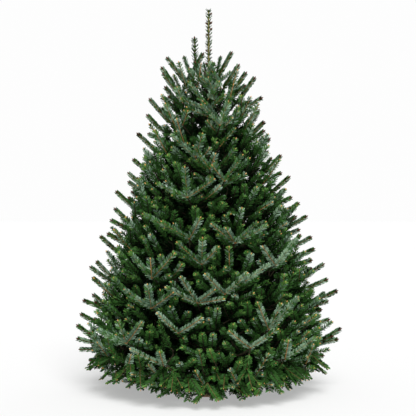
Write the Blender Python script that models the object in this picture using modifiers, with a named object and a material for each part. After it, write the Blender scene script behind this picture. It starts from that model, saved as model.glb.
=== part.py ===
"""A cut Christmas tree, two metres tall, on a plain wooden cross stand.

The tree is a dense, short-needled fir. A whole trunk runs up through it. Around the trunk the
crown is laid out in tiers, and each tier is shared out evenly between its masses of foliage. The
space between two tiers is bounded by "skirts": surfaces that leave the trunk at one height and
rise to the outline of the crown at another, so every mass keeps to its own wedge of the crown.

A place in the crown is given by
    reach   distance from the trunk's axis,
    turn    angle round the trunk, 0 towards -Y (the front) and 90 degrees towards +X,
    level   0 on the skirt below a tier, 1 on the skirt above it.

Each mass is one body: a stem, a smaller dense core round it, and sprays. A spray is a leading
shoot with a side shoot on each hand, and a shoot is a toothed, needle-clad spindle.

Metres, +Z up, origin under the middle of the stand.
"""

import math
import random

import bmesh
import bpy
from mathutils import Matrix, Vector
from mathutils.geometry import intersect_point_line

# ---------------------------------------------------------------- driving dimensions

TREE_HEIGHT = 2.0            # floor to the leader's tip
GAP = 0.0003                 # clearance between pieces that touch

# Outline of the crown: how far the furthest tips reach at each height.
WIDEST_REACH = 0.685
WIDEST_HEIGHT = 0.30
OUTLINE_TOP = 1.92
OUTLINE_POWER = 0.62         # under 1, so the sides of the cone are slightly full
UNDERCUT = 0.45              # reach lost for each metre below the widest height

# Trunk.
TRUNK_TOP = 1.675            # blunt end where an old leader was cut
TRUNK_BASE_RADIUS = 0.040
TRUNK_TOP_RADIUS = 0.008
TRUNK_FLARE = 0.006          # extra radius at the foot
TRUNK_FLARE_HEIGHT = 0.06
TRUNK_SWAY = 0.007           # how far the trunk wanders from a straight line
STUB_LEAN = 0.016            # how far the blunt end leans away from the new leader
STUB_HEIGHT = 0.14
TRUNK_LEVELS = (0.30, 0.60, 0.90, 1.20, 1.40)    # heights at which the trunk changes course

# Stand: two boards halved into a cross, and four corner braces.
BOARD_LENGTH = 0.54
BOARD_WIDTH = 0.075
BOARD_THICKNESS = 0.036
BOARD_EDGE = 0.003           # rounding of the boards' edges
BRACE_THICKNESS = 0.030
BRACE_HEIGHT = 0.055
BRACE_LENGTH = 0.085
BRACE_NOSE = 0.012           # blunt ends of a brace's slope

# Skirts between the tiers: height at the trunk, height at the outline, and a bend above 1
# where the limbs leave the trunk flatter than they end.
SKIRTS = (
    (0.085, 0.022, 1.6),
    (0.160, 0.240, 1.5),
    (0.270, 0.490, 1.5),
    (0.480, 0.740, 1.5),
    (0.700, 0.980, 1.4),
    (0.910, 1.200, 1.2),
    (1.100, 1.400, 1.1),
    (1.310, 1.580, 1.05),
    (1.500, 1.760, 1.05),
)

# Tiers from the floor up: name, masses, turn of the first mass in degrees, whether the masses
# hang on boughs, lift of the sprays in degrees, and the radius of a shoot.
TIERS = (
    ("skirt", 6, 12.0, True, -4.0, 0.023),
    ("lower", 6, -17.0, True, 5.0, 0.023),
    ("lower_middle", 5, 20.0, True, 4.0, 0.023),
    ("middle", 4, -38.0, False, 3.0, 0.022),
    ("upper_middle", 4, 5.0, False, 2.0, 0.021),
    ("upper", 3, -28.0, False, 1.0, 0.020),
    ("shoulder", 3, 28.0, False, 1.0, 0.018),
    ("crown", 3, -30.0, False, 2.0, 0.017),
)

# Boughs and stems.
BOUGH_SHARE = 0.40           # part of the reach that is bare bough, the rest is foliage
BOUGH_ROOT_RADIUS = 0.0125
BOUGH_TIP_RADIUS = 0.0085
STEM_SHARE = 0.66            # part of the reach at which a stem has passed into its sprays
STEM_ROOT_RADIUS = 0.0080
STEM_TIP_RADIUS = 0.0040
TWIG_RADIUS = 0.0050

# Sprays of a mass: place between its side walls (-0.5 to 0.5) and level.
SPRAYS = (
    (-0.32, 0.20),
    (0.02, 0.22),
    (0.32, 0.24),
    (-0.20, 0.50),
    (0.22, 0.52),
    (-0.34, 0.79),
    (0.34, 0.78),
    (0.00, 0.80),
)
SPRAY_JITTER = 0.035
LEADING_SHOOT = 0.200        # length of a spray's leading shoot in the lower crown
SIDE_SHOOT_SHARE = 0.70      # length of its side shoots against it
SIDE_RADIUS_SHARE = 0.90     # radius of its side shoots against it
SUNK = 0.010                 # how far a shoot's foot is sunk past the fork
BARE_FOOT = 0.030            # stretch next to the fork that may touch its neighbours
SIDE_ANGLE = 48.0            # degrees between a leading shoot and its side shoots
TOP_SHOOT_SHARE = 0.90       # how much shorter the shoots are at the top of the crown
LEAST_NODE_REACH = 0.05      # nearest that a spray forks to the trunk's axis

# Core of a mass, as shares of its wedge.
CORE_FROM = 0.42
CORE_TO = 0.80
CORE_BREADTH = 0.46
CORE_DEPTH = 0.44
CORE_TEETH = 5               # teeth round the rim of a core
CORE_NOTCH = 0.72            # reach of a core between its teeth
CORE_FOLD = 0.80             # depth of a core between its teeth

# Leader: the topmost shoot, which rises beside the cut end of the trunk.
LEADER_FOOT = 1.590
LEADER_OFFSET = 0.011
LEADER_RADIUS = 0.0145
LEADER_STEM_RADIUS = 0.0045
LEADER_RING_RADIUS = 0.016
LEADER_RING_HEIGHT = 1.615
# Shoots that rise close round the leader's foot: turn and rise in degrees, and length.
LEADER_RING = (
    (-95.0, 71.0, 0.235),
    (-55.0, 60.0, 0.165),
    (8.0, 74.0, 0.125),
    (48.0, 68.0, 0.150),
    (92.0, 58.0, 0.195),
    (150.0, 64.0, 0.165),
    (-148.0, 66.0, 0.150),
)

# A shoot is modelled once as a spindle of unit length and unit radius.
SHOOT_SIDES = 3
LEADING_TEETH = 2
SIDE_TEETH = 1
LEADER_TEETH = 6
SHOOT_THROAT = 0.42          # radius between the teeth against the radius at their tips

SEED = 24
MASS_TRIANGLES = 460         # most triangles in one mass
FLAT_ANGLE = 0.002           # radians under which neighbouring faces count as one flat face
WELD = 0.00005               # points nearer than this are one point

# Room that a shoot needs, in shares of its own radius.
TEST_POINTS = 5              # places along a shoot at which its room is tested
SLOPE_ROOM = 1.25            # to the sloping skirts
OWN_ROOM = 1.50              # to the middle of another shoot
TIP_ROOM = 0.40              # at the very tip

# ---------------------------------------------------------------- scene and materials


def clear_scene():
    for item in list(bpy.data.objects):
        bpy.data.objects.remove(item, do_unlink=True)


def new_collection(name):
    collection = bpy.data.collections.new(name)
    bpy.context.scene.collection.children.link(collection)
    return collection


def new_material(name, colour, roughness):
    material = bpy.data.materials.new(name)
    material.use_nodes = True
    shader = material.node_tree.nodes["Principled BSDF"]
    shader.inputs["Base Color"].default_value = (*colour, 1.0)
    shader.inputs["Roughness"].default_value = roughness
    shader.inputs["Metallic"].default_value = 0.0
    return material


def new_object(name, mesh, collection, material=None):
    item = bpy.data.objects.new(name, mesh)
    collection.objects.link(item)
    if material is not None:
        mesh.materials.clear()
        mesh.materials.append(material)
    return item


def evaluated_mesh(item):
    """The mesh that an object's modifiers or curve settings make."""
    bpy.context.view_layer.update()
    graph = bpy.context.evaluated_depsgraph_get()
    return bpy.data.meshes.new_from_object(item.evaluated_get(graph))


def mesh_from_curve(item, name, collection, material=None):
    """Turns a curve object into a closed mesh object and removes the curve."""
    mesh = evaluated_mesh(item)
    shape = bmesh.new()
    shape.from_mesh(mesh)
    bmesh.ops.remove_doubles(shape, verts=shape.verts, dist=WELD)
    bmesh.ops.recalc_face_normals(shape, faces=shape.faces)
    shape.to_mesh(mesh)
    shape.free()
    solid = new_object(name, mesh, collection, material)
    solid.matrix_world = item.matrix_world.copy()
    bpy.data.objects.remove(item, do_unlink=True)
    return solid


def limb(name, points, radii, sides_level, collection, material=None):
    """A tapering round limb along points. sides_level 0 gives 4 sides, each step adds 2."""
    curve = bpy.data.curves.new(name, "CURVE")
    curve.dimensions = "3D"
    curve.bevel_depth = 1.0
    curve.bevel_resolution = sides_level
    curve.use_fill_caps = True
    spline = curve.splines.new("POLY")
    spline.points.add(len(points) - 1)
    for place, point, radius in zip(spline.points, points, radii):
        place.co = (*point, 1.0)
        place.radius = radius
    draft = new_object(name + "_draft", curve, collection)
    return mesh_from_curve(draft, name, collection, material)


def apply_boolean(item, operation, solver, cutter=None, cutters=None):
    """Joins or cuts an object with one object or with a collection, and applies the result."""
    boolean = item.modifiers.new("boolean", "BOOLEAN")
    boolean.operation = operation
    boolean.solver = solver
    if cutters is not None:
        boolean.operand_type = "COLLECTION"
        boolean.collection = cutters
    else:
        boolean.object = cutter
    mesh = evaluated_mesh(item)
    item.modifiers.clear()
    item.data = mesh


def merge_flat_faces(item):
    """Merges the fragments of flat faces that a union leaves. Says whether the body is closed."""
    closed = False
    for angle in (FLAT_ANGLE, 0.0):
        shape = bmesh.new()
        shape.from_mesh(item.data)
        if angle > 0.0:
            bmesh.ops.dissolve_limit(shape, angle_limit=angle, verts=shape.verts,
                                     edges=shape.edges)
        bmesh.ops.triangulate(shape, faces=shape.faces)
        closed = all(edge.is_manifold for edge in shape.edges)
        if closed:
            shape.to_mesh(item.data)
        shape.free()
        if closed:
            break
    return closed


def keep_largest_body(item):
    """Drops the loose scraps beside the main body, and fills any hollow sealed inside it."""
    shape = bmesh.new()
    shape.from_mesh(item.data)
    unseen = set(shape.faces)
    skins = []
    while unseen:
        skin = []
        border = [unseen.pop()]
        while border:
            face = border.pop()
            skin.append(face)
            for edge in face.edges:
                for other in edge.link_faces:
                    if other in unseen:
                        unseen.remove(other)
                        border.append(other)
        skins.append(skin)
    skins.sort(key=len)
    for skin in skins[:-1]:
        bmesh.ops.delete(shape, geom=skin, context="FACES")
    shape.to_mesh(item.data)
    shape.free()


# ---------------------------------------------------------------- shape of the crown


def outline_reach(height):
    """How far the furthest tips reach at a height."""
    if height < WIDEST_HEIGHT:
        return WIDEST_REACH - UNDERCUT * (WIDEST_HEIGHT - height)
    share = max(0.0, (OUTLINE_TOP - height) / (OUTLINE_TOP - WIDEST_HEIGHT))
    return WIDEST_REACH * share ** OUTLINE_POWER


def skirt_height(skirt, reach):
    """Height of a skirt at a distance from the trunk's axis."""
    at_trunk, at_outline, bend = SKIRTS[skirt]
    share = reach / outline_reach(at_outline)
    return at_trunk + (at_outline - at_trunk) * share ** bend


def crown_height(tier, reach, level):
    below = skirt_height(tier, reach)
    above = skirt_height(tier + 1, reach)
    return below + (above - below) * level


def crown_point(tier, reach, turn, level):
    return Vector((
        reach * math.sin(turn),
        -reach * math.cos(turn),
        crown_height(tier, reach, level),
    ))


def tip_reach(tier, level):
    """Reach at which a level of a tier meets the outline of the crown."""
    reach = outline_reach(SKIRTS[tier][1])
    for _ in range(12):
        reach = 0.5 * (reach + outline_reach(crown_height(tier, reach, level)))
    return reach


def heading(tier, reach, turn, level, lift):
    """Outward direction along a level of a tier, lifted by an angle."""
    step = 0.01
    rise = crown_height(tier, reach + step, level) - crown_height(tier, reach - step, level)
    slope = math.atan2(rise, 2.0 * step) + lift
    outward = Vector((math.sin(turn), -math.cos(turn), 0.0))
    return outward * math.cos(slope) + Vector((0.0, 0.0, math.sin(slope)))


class Wedge:
    """The space that one mass keeps to, and the shoots already set in it."""

    def __init__(self, tier, turn, half_width):
        self.tier = tier
        self.turn = turn
        self.half_width = half_width
        self.shoots = []

    def holds(self, point, radius):
        """Whether a ball round a point lies inside the wedge."""
        reach = math.hypot(point.x, point.y)
        if reach < TRUNK_BASE_RADIUS + radius:
            return False
        swing = math.atan2(point.x, -point.y) - self.turn
        swing = (swing + math.pi) % (2.0 * math.pi) - math.pi
        to_wall = reach * math.sin(self.half_width - abs(swing))
        slope_room = SLOPE_ROOM * radius + 2.0 * GAP
        below = point.z - skirt_height(self.tier, reach)
        above = skirt_height(self.tier + 1, reach) - point.z
        return to_wall > radius + GAP and below > slope_room and above > slope_room

    def crowds(self, foot, tip, radius):
        """Whether a shoot would run into one that is already there, away from its own foot."""
        for step in range(2, TEST_POINTS + 1):
            point = foot.lerp(tip, step / TEST_POINTS)
            for other_foot, other_tip in self.shoots:
                _, share = intersect_point_line(point, other_foot, other_tip)
                nearest = other_foot.lerp(other_tip, min(1.0, max(0.0, share)))
                if (point - nearest).length < OWN_ROOM * radius:
                    return True
        return False

    def holds_shoot(self, foot, tip, radius):
        """Whether a whole shoot lies inside the wedge."""
        for step in range(1, TEST_POINTS + 1):
            thickness = radius * (1.0 if step < TEST_POINTS else TIP_ROOM)
            if not self.holds(foot.lerp(tip, step / TEST_POINTS), thickness):
                return False
        return True


# ---------------------------------------------------------------- trunk and stand


def trunk_axis(height):
    """Middle of the trunk at a height: a slight sway, and the blunt end leaning aside."""
    share = (height - BOARD_THICKNESS - GAP) / (TRUNK_TOP - BOARD_THICKNESS - GAP)
    x = TRUNK_SWAY * math.sin(math.pi * share)
    y = 0.6 * TRUNK_SWAY * math.sin(2.0 * math.pi * share)
    above_fork = max(0.0, height - (TRUNK_TOP - STUB_HEIGHT))
    return Vector((x - STUB_LEAN * above_fork / STUB_HEIGHT, y, height))


def trunk_radius(height):
    share = height / TRUNK_TOP
    flare = TRUNK_FLARE * max(0.0, 1.0 - (height - BOARD_THICKNESS) / TRUNK_FLARE_HEIGHT)
    return TRUNK_BASE_RADIUS + (TRUNK_TOP_RADIUS - TRUNK_BASE_RADIUS) * share + flare


def trunk_limb(name, extra, collection, material=None):
    """The trunk, or the trunk grown by an extra thickness to cut other pieces clear of it."""
    foot = BOARD_THICKNESS + GAP
    heights = [foot, foot + TRUNK_FLARE_HEIGHT / 2.0, foot + TRUNK_FLARE_HEIGHT]
    heights += [*TRUNK_LEVELS, TRUNK_TOP - STUB_HEIGHT, TRUNK_TOP + extra]
    points = [trunk_axis(height) for height in heights]
    points[1].xy = points[0].xy
    radii = [trunk_radius(height) + extra for height in heights]
    return limb(name, points, radii, 4, collection, material)


def board(name, across, notch_above, parts, cutters, material):
    """One board of the cross, with a notch for the other board."""
    shape = bmesh.new()
    bmesh.ops.create_cube(shape, size=1.0)
    bmesh.ops.scale(shape, verts=shape.verts, vec=(BOARD_LENGTH, BOARD_WIDTH, BOARD_THICKNESS))
    mesh = bpy.data.meshes.new(name)
    shape.to_mesh(mesh)
    shape.free()
    item = new_object(name, mesh, parts, material)
    turn = Matrix.Rotation(math.radians(90.0 if across else 0.0), 4, "Z")
    item.matrix_world = Matrix.Translation((0.0, 0.0, BOARD_THICKNESS / 2.0)) @ turn

    edge = item.modifiers.new("edges", "BEVEL")
    edge.width = BOARD_EDGE
    edge.segments = 1

    shape = bmesh.new()
    bmesh.ops.create_cube(shape, size=1.0)
    notch_width = BOARD_WIDTH + 2.0 * GAP
    notch_size = (notch_width, 2.0 * BOARD_WIDTH, BOARD_THICKNESS)
    bmesh.ops.scale(shape, verts=shape.verts, vec=notch_size)
    mesh = bpy.data.meshes.new(name + "_notch")
    shape.to_mesh(mesh)
    shape.free()
    notch = new_object(name + "_notch", mesh, cutters)
    rise = (BOARD_THICKNESS - GAP) / 2.0
    height = BOARD_THICKNESS / 2.0 + (rise if notch_above else -rise)
    notch.matrix_world = Matrix.Translation((0.0, 0.0, height)) @ turn
    hide_cutter(notch)
    cut = item.modifiers.new("notch", "BOOLEAN")
    cut.operation = "DIFFERENCE"
    cut.object = notch
    return item


def hide_cutter(item):
    item.hide_render = True
    item.display_type = "WIRE"


def brace(number, parts, material):
    """A sloping block that steadies the trunk on one arm of the cross."""
    near = trunk_radius(BOARD_THICKNESS) + GAP
    low = BOARD_THICKNESS + GAP
    corners = (
        (near, low),
        (near + BRACE_LENGTH, low),
        (near + BRACE_LENGTH, low + BRACE_NOSE),
        (near + BRACE_NOSE, low + BRACE_HEIGHT),
        (near, low + BRACE_HEIGHT),
    )
    curve = bpy.data.curves.new("brace_outline", "CURVE")
    curve.dimensions = "2D"
    curve.fill_mode = "BOTH"
    curve.extrude = BRACE_THICKNESS / 2.0
    spline = curve.splines.new("POLY")
    spline.points.add(len(corners) - 1)
    spline.use_cyclic_u = True
    for place, (out, up) in zip(spline.points, corners):
        place.co = (out, up, 0.0, 1.0)
    draft = new_object("brace_draft", curve, parts)
    stand_up = Matrix.Rotation(math.radians(90.0), 4, "X")
    draft.matrix_world = Matrix.Rotation(math.radians(90.0 * number), 4, "Z") @ stand_up
    return mesh_from_curve(draft, "stand_brace_%d" % (number + 1), parts, material)


# ---------------------------------------------------------------- foliage


def shoot_mesh(name, teeth):
    """A needle-clad shoot of unit length along +Z: a toothed profile turned round its axis."""
    profile = [(0.0, 0.0)]
    for tooth in range(teeth):
        throat = SHOOT_THROAT * (1.0 - 0.25 * tooth / teeth)
        crest = 1.0 - 0.30 * (tooth / teeth) ** 2
        profile.append((throat, (tooth + 0.05) / teeth))
        profile.append((crest, min(0.96, (tooth + 0.85) / teeth)))
    profile.append((0.0, 1.0))
    mesh = bpy.data.meshes.new(name + "_profile")
    places = [(radius, 0.0, along) for radius, along in reversed(profile)]
    edges = [(index, index + 1) for index in range(len(places) - 1)]
    mesh.from_pydata(places, edges, [])
    draft = new_object(name + "_draft", mesh, bpy.context.scene.collection)
    turned = draft.modifiers.new("turned", "SCREW")
    turned.steps = SHOOT_SIDES
    turned.render_steps = SHOOT_SIDES
    turned.use_merge_vertices = True
    turned.merge_threshold = WELD
    solid = evaluated_mesh(draft)
    shape = bmesh.new()
    shape.from_mesh(solid)
    bmesh.ops.remove_doubles(shape, verts=shape.verts, dist=WELD)
    bmesh.ops.recalc_face_normals(shape, faces=shape.faces)
    bmesh.ops.triangulate(shape, faces=shape.faces)
    shape.to_mesh(solid)
    shape.free()
    solid.name = name
    bpy.data.objects.remove(draft, do_unlink=True)
    return solid


def place_shoot(design, foot, tip, radius, roll, joined):
    """Sets a copy of a shoot between two points."""
    along = tip - foot
    turn = along.to_track_quat("Z", "Y").to_matrix().to_4x4()
    size = Matrix.Diagonal((radius, radius, along.length, 1.0))
    item = new_object("shoot", design.copy(), joined)
    item.data.transform(Matrix.Translation(foot) @ turn @ Matrix.Rotation(roll, 4, "Z") @ size)
    return item


def place_twig(foot, tip, radius, joined):
    """A bare three-sided twig between two points."""
    shape = bmesh.new()
    along = tip - foot
    bmesh.ops.create_cone(
        shape, cap_ends=True, segments=3,
        radius1=radius, radius2=0.7 * radius, depth=along.length,
    )
    turn = along.to_track_quat("Z", "Y").to_matrix().to_4x4()
    shape.transform(Matrix.Translation((foot + tip) / 2.0) @ turn)
    mesh = bpy.data.meshes.new("twig")
    shape.to_mesh(mesh)
    shape.free()
    return new_object("twig", mesh, joined)


def place_core(wedge, stem_level, joined):
    """The dense inside of a mass: a ball with a toothed rim, bent to the shape of its wedge."""
    shape = bmesh.new()
    bmesh.ops.create_uvsphere(shape, u_segments=2 * CORE_TEETH, v_segments=4, radius=1.0)
    far = tip_reach(wedge.tier, stem_level)
    middle = far * (CORE_FROM + CORE_TO) / 2.0
    half = far * (CORE_TO - CORE_FROM) / 2.0
    for vert in shape.verts:
        out, side, up = vert.co
        meridian = round(math.atan2(side, out) * CORE_TEETH / math.pi)
        if meridian % 2:
            out *= CORE_NOTCH
            side *= CORE_NOTCH
            up *= CORE_FOLD
        reach = middle + half * out
        turn = wedge.turn + 2.0 * wedge.half_width * CORE_BREADTH * side
        level = 0.5 + CORE_DEPTH * up
        vert.co = crown_point(wedge.tier, reach, turn, level)
    bmesh.ops.triangulate(shape, faces=shape.faces)
    mesh = bpy.data.meshes.new("core")
    shape.to_mesh(mesh)
    shape.free()
    return new_object("core", mesh, joined)


def lay_out_spray(tier, turn, level, length, lift, draw):
    """Node and tip of a leading shoot, and the tips of its side shoots."""
    tip_at = tip_reach(tier, level) * (1.0 + draw.uniform(-0.05, 0.03))
    way = heading(tier, max(tip_at - length, 0.4 * tip_at), turn, level, lift)
    node_reach = max(tip_at - length * math.hypot(way.x, way.y), LEAST_NODE_REACH)
    node = crown_point(tier, node_reach, turn, level)
    side_tips = []
    for hand in (-1.0, 1.0):
        swing = hand * math.radians(SIDE_ANGLE + draw.uniform(-6.0, 6.0))
        side_way = Matrix.Rotation(swing, 3, "Z") @ way
        side_way.z += draw.uniform(-0.12, 0.08)
        side_length = length * SIDE_SHOOT_SHARE * draw.uniform(0.85, 1.1)
        side_tips.append(node + side_way.normalized() * side_length)
    return node, node + way * length, side_tips


def place_spray(wedge, root, spray, radius, draw, joined, designs):
    """A twig from the stem with a leading shoot and a side shoot on each hand."""
    node, tip, side_tips = spray
    rolls = [draw.uniform(0.0, 2.0) for _ in range(1 + len(side_tips))]
    if not wedge.holds_shoot(node, tip, radius) or wedge.crowds(node, tip, radius):
        return
    way = (tip - node).normalized()
    wedge.shoots.append((node, tip))
    place_twig(root, node + way * SUNK, TWIG_RADIUS, joined)
    place_shoot(designs[0], node - way * SUNK, tip, radius, rolls[0], joined)
    side_radius = radius * SIDE_RADIUS_SHARE
    for side_tip, roll in zip(side_tips, rolls[1:]):
        side_way = (side_tip - node).normalized()
        clear = not wedge.crowds(node, side_tip, side_radius)
        if clear and wedge.holds_shoot(node + side_way * BARE_FOOT, side_tip, side_radius):
            wedge.shoots.append((node, side_tip))
            foot = node - side_way * SUNK
            place_shoot(designs[1], foot, side_tip, side_radius, roll, joined)


def thin_out(item, most):
    """Collapses the slivers a union leaves until a mesh has at most so many triangles."""
    thin = item.modifiers.new("thin", "DECIMATE")
    thin.ratio = min(1.0, most / len(item.data.polygons))
    thin.use_collapse_triangulate = True
    item.data = evaluated_mesh(item)
    item.modifiers.clear()


def join_mass(stem, joined, material):
    """Unites a stem with what is placed on it, less the last shoots if they leave it unsound."""
    bare = stem.data
    while joined.objects:
        stem.data = bare.copy()
        apply_boolean(stem, "UNION", "MANIFOLD", cutters=joined)
        if merge_flat_faces(stem):
            break
        bpy.data.objects.remove(joined.objects[-1], do_unlink=True)
    keep_largest_body(stem)
    thin_out(stem, MASS_TRIANGLES)
    stem.data.materials.clear()
    stem.data.materials.append(material)
    for item in list(joined.objects):
        bpy.data.objects.remove(item, do_unlink=True)
    bpy.data.collections.remove(joined)


def stem_points(tier, turn, level, start, end, count):
    """Points along a level of a tier, from one reach to another."""
    points = []
    for step in range(count):
        reach = start + (end - start) * step / (count - 1)
        points.append(crown_point(tier, reach, turn, level))
    return points


def size_at(tier):
    """1 at the foot of the crown, falling towards its top where shoots are shorter."""
    share = tier / (len(TIERS) - 1)
    return 1.0 + (TOP_SHOOT_SHARE - 1.0) * share


def make_bough(name, tier, turn, level, end, parts, trunk_cutter, material):
    """A tapering bough from the trunk to the foot of a mass. Gives the way its tip points."""
    points = stem_points(tier, turn, level, 0.0, end, 4)
    points[0] += trunk_axis(points[0].z) - Vector((0.0, 0.0, points[0].z))
    radii = []
    for step in range(len(points)):
        share = step / (len(points) - 1)
        radii.append(BOUGH_ROOT_RADIUS + (BOUGH_TIP_RADIUS - BOUGH_ROOT_RADIUS) * share)
    bough = limb(name, points, radii, 1, parts, material)
    apply_boolean(bough, "DIFFERENCE", "EXACT", cutter=trunk_cutter)
    keep_largest_body(bough)
    return points[-1] - points[-2]


def make_mass(name, wedge, level, tier_facts, draw, parts, trunk_cutter, materials, designs):
    """One mass of foliage, on its own bough in the lower tiers and on the trunk above."""
    tier = wedge.tier
    _, _, _, has_bough, lift, shoot_radius = tier_facts
    far = tip_reach(tier, level)
    stem_end = far * STEM_SHARE
    if has_bough:
        bough_end = far * BOUGH_SHARE
        bough_name = name.replace("foliage", "bough")
        way = make_bough(bough_name, tier, wedge.turn, level, bough_end, parts,
                         trunk_cutter, materials["bark"])
        points = stem_points(tier, wedge.turn, level, bough_end, stem_end, 3)
        points[0] += way.normalized() * GAP
        points.insert(1, points[0] + way.normalized() * 0.01)
    else:
        points = stem_points(tier, wedge.turn, level, 0.0, stem_end, 5)
        points[0] += trunk_axis(points[0].z) - Vector((0.0, 0.0, points[0].z))
    radii = []
    for step in range(len(points)):
        share = step / (len(points) - 1)
        radii.append(STEM_ROOT_RADIUS + (STEM_TIP_RADIUS - STEM_ROOT_RADIUS) * share)
    stem = limb(name, points, radii, 0, parts)

    joined = new_collection(name + "_pieces")
    place_core(wedge, level, joined)
    length = LEADING_SHOOT * size_at(tier)
    for across, spray_level in SPRAYS:
        across += draw.uniform(-SPRAY_JITTER, SPRAY_JITTER)
        spray_level += draw.uniform(-SPRAY_JITTER, SPRAY_JITTER)
        turn = wedge.turn + 2.0 * wedge.half_width * across
        root = points[-2].lerp(points[-1], draw.uniform(0.2, 0.8))
        spray_length = length * draw.uniform(0.88, 1.12)
        spray = lay_out_spray(tier, turn, spray_level, spray_length, math.radians(lift), draw)
        place_spray(wedge, root, spray, shoot_radius, draw, joined, designs)
    join_mass(stem, joined, materials["needles"])
    if not has_bough:
        apply_boolean(stem, "DIFFERENCE", "EXACT", cutter=trunk_cutter)
        keep_largest_body(stem)


def make_leader(draw, parts, trunk_cutter, materials, designs):
    """The topmost shoot with a ring of steep shoots round its foot."""
    foot = trunk_axis(LEADER_FOOT) + Vector((LEADER_OFFSET, 0.0, 0.0))
    foot.z = LEADER_FOOT
    tip = Vector((trunk_axis(TRUNK_TOP).x + STUB_LEAN + 0.008, 0.0, TREE_HEIGHT))
    stem = limb("foliage_leader", [foot, foot.lerp(tip, 0.5), tip.lerp(foot, 0.03)],
                [LEADER_STEM_RADIUS, 0.8 * LEADER_STEM_RADIUS, 0.4 * LEADER_STEM_RADIUS],
                0, parts)
    joined = new_collection("foliage_leader_pieces")
    leader_design = shoot_mesh("leader_shoot", LEADER_TEETH)
    place_shoot(leader_design, foot.lerp(tip, 0.2), tip, LEADER_RADIUS, 0.4, joined)
    start = (LEADER_RING_HEIGHT - LEADER_FOOT) / (TREE_HEIGHT - LEADER_FOOT)
    for number, (turn, rise, length) in enumerate(LEADER_RING):
        turn = math.radians(turn)
        rise = math.radians(rise)
        way = Vector((math.sin(turn) * math.cos(rise), -math.cos(turn) * math.cos(rise),
                      math.sin(rise)))
        root = foot.lerp(tip, start + 0.006 * number)
        foot_inside = root - way * LEADER_STEM_RADIUS
        place_shoot(designs[0], foot_inside, root + way * length, LEADER_RING_RADIUS,
                    draw.uniform(0.0, 2.0), joined)
    join_mass(stem, joined, materials["needles"])
    apply_boolean(stem, "DIFFERENCE", "EXACT", cutter=trunk_cutter)
    keep_largest_body(stem)


# ---------------------------------------------------------------- the whole tree


def main():
    clear_scene()
    parts = new_collection("christmas_tree")
    cutters = new_collection("cutters")
    materials = {
        "bark": new_material("bark", (0.16, 0.10, 0.06), 0.9),
        "needles": new_material("needles", (0.05, 0.12, 0.06), 0.6),
        "stand_wood": new_material("stand_wood", (0.55, 0.36, 0.18), 0.7),
    }

    board("stand_board_lower", False, True, parts, cutters, materials["stand_wood"])
    board("stand_board_upper", True, False, parts, cutters, materials["stand_wood"])
    for number in range(4):
        brace(number, parts, materials["stand_wood"])

    trunk_limb("trunk", 0.0, parts, materials["bark"])
    trunk_cutter = trunk_limb("trunk_clearance", GAP, cutters)
    hide_cutter(trunk_cutter)

    designs = (shoot_mesh("leading_shoot", LEADING_TEETH), shoot_mesh("side_shoot", SIDE_TEETH))
    for tier, facts in enumerate(TIERS):
        name, count, first_turn = facts[:3]
        for number in range(count):
            draw = random.Random(SEED + 100 * tier + number)
            turn = math.radians(first_turn + 360.0 * number / count)
            wedge = Wedge(tier, turn, math.pi / count)
            level = 0.5 + draw.uniform(-0.08, 0.08)
            make_mass("foliage_%s_%d" % (name, number + 1), wedge, level, facts, draw,
                      parts, trunk_cutter, materials, designs)
    make_leader(random.Random(SEED), parts, trunk_cutter, materials, designs)

    for item in parts.objects:
        item.data.shade_smooth()
        item.data.set_sharp_from_angle(angle=math.radians(30.0))


main()
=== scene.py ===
"""Christmas tree: the looks of a cut, short-needled fir on a plain wooden cross stand.

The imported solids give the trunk, the boughs, the stand and one solid for each mass of foliage.
Here the stand gets its finish, the trunk and boughs get bark, and every mass is grown again from
the same rule as its solid, carried on to finer twigs, shoots and needles.

A place in the crown is given by its reach (distance from the trunk's axis), its turn (angle round
the trunk, 0 towards -Y and 90 degrees towards +X), and its level between two skirts. Lengths are
in metres.
"""

import functools
import math
import random
from typing import NamedTuple

import bpy
import numpy as np
from mathutils import Matrix, Vector, noise


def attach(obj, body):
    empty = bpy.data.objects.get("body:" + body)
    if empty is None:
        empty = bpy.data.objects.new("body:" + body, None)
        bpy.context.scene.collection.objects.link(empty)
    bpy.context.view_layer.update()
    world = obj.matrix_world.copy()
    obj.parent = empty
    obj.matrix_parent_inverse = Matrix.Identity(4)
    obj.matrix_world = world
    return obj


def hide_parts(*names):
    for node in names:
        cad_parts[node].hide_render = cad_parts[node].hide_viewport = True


bl_info = {
    "name": "Christmas Tree",
    "version": (1, 0, 0),
    "blender": (4, 5, 0),
    "location": "View3D > Sidebar > Tree",
    "description": "Bark, twigs and needles for a cut fir on its stand",
    "category": "Object",
}

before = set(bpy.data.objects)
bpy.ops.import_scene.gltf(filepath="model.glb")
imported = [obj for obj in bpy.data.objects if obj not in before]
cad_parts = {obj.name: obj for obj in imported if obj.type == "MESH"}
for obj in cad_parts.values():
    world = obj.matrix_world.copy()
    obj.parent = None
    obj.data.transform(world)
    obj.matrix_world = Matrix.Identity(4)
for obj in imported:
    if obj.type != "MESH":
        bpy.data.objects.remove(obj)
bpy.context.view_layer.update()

BODY = "root"
UP = Vector((0.0, 0.0, 1.0))
TREE_TRIANGLES = 190000      # most triangles in one piece

# ---------------------------------------------------------------- the crown's rule, as modelled

TREE_HEIGHT = 2.0
WIDEST_REACH = 0.685
WIDEST_HEIGHT = 0.30
OUTLINE_TOP = 1.92
OUTLINE_POWER = 0.62
UNDERCUT = 0.45

TRUNK_TOP = 1.675
TRUNK_BASE_RADIUS = 0.040
TRUNK_TOP_RADIUS = 0.008
TRUNK_FLARE = 0.006
TRUNK_FLARE_HEIGHT = 0.06
TRUNK_SWAY = 0.007
STUB_LEAN = 0.016
STUB_HEIGHT = 0.14
BOARD_THICKNESS = 0.036
GAP = 0.0003

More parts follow.
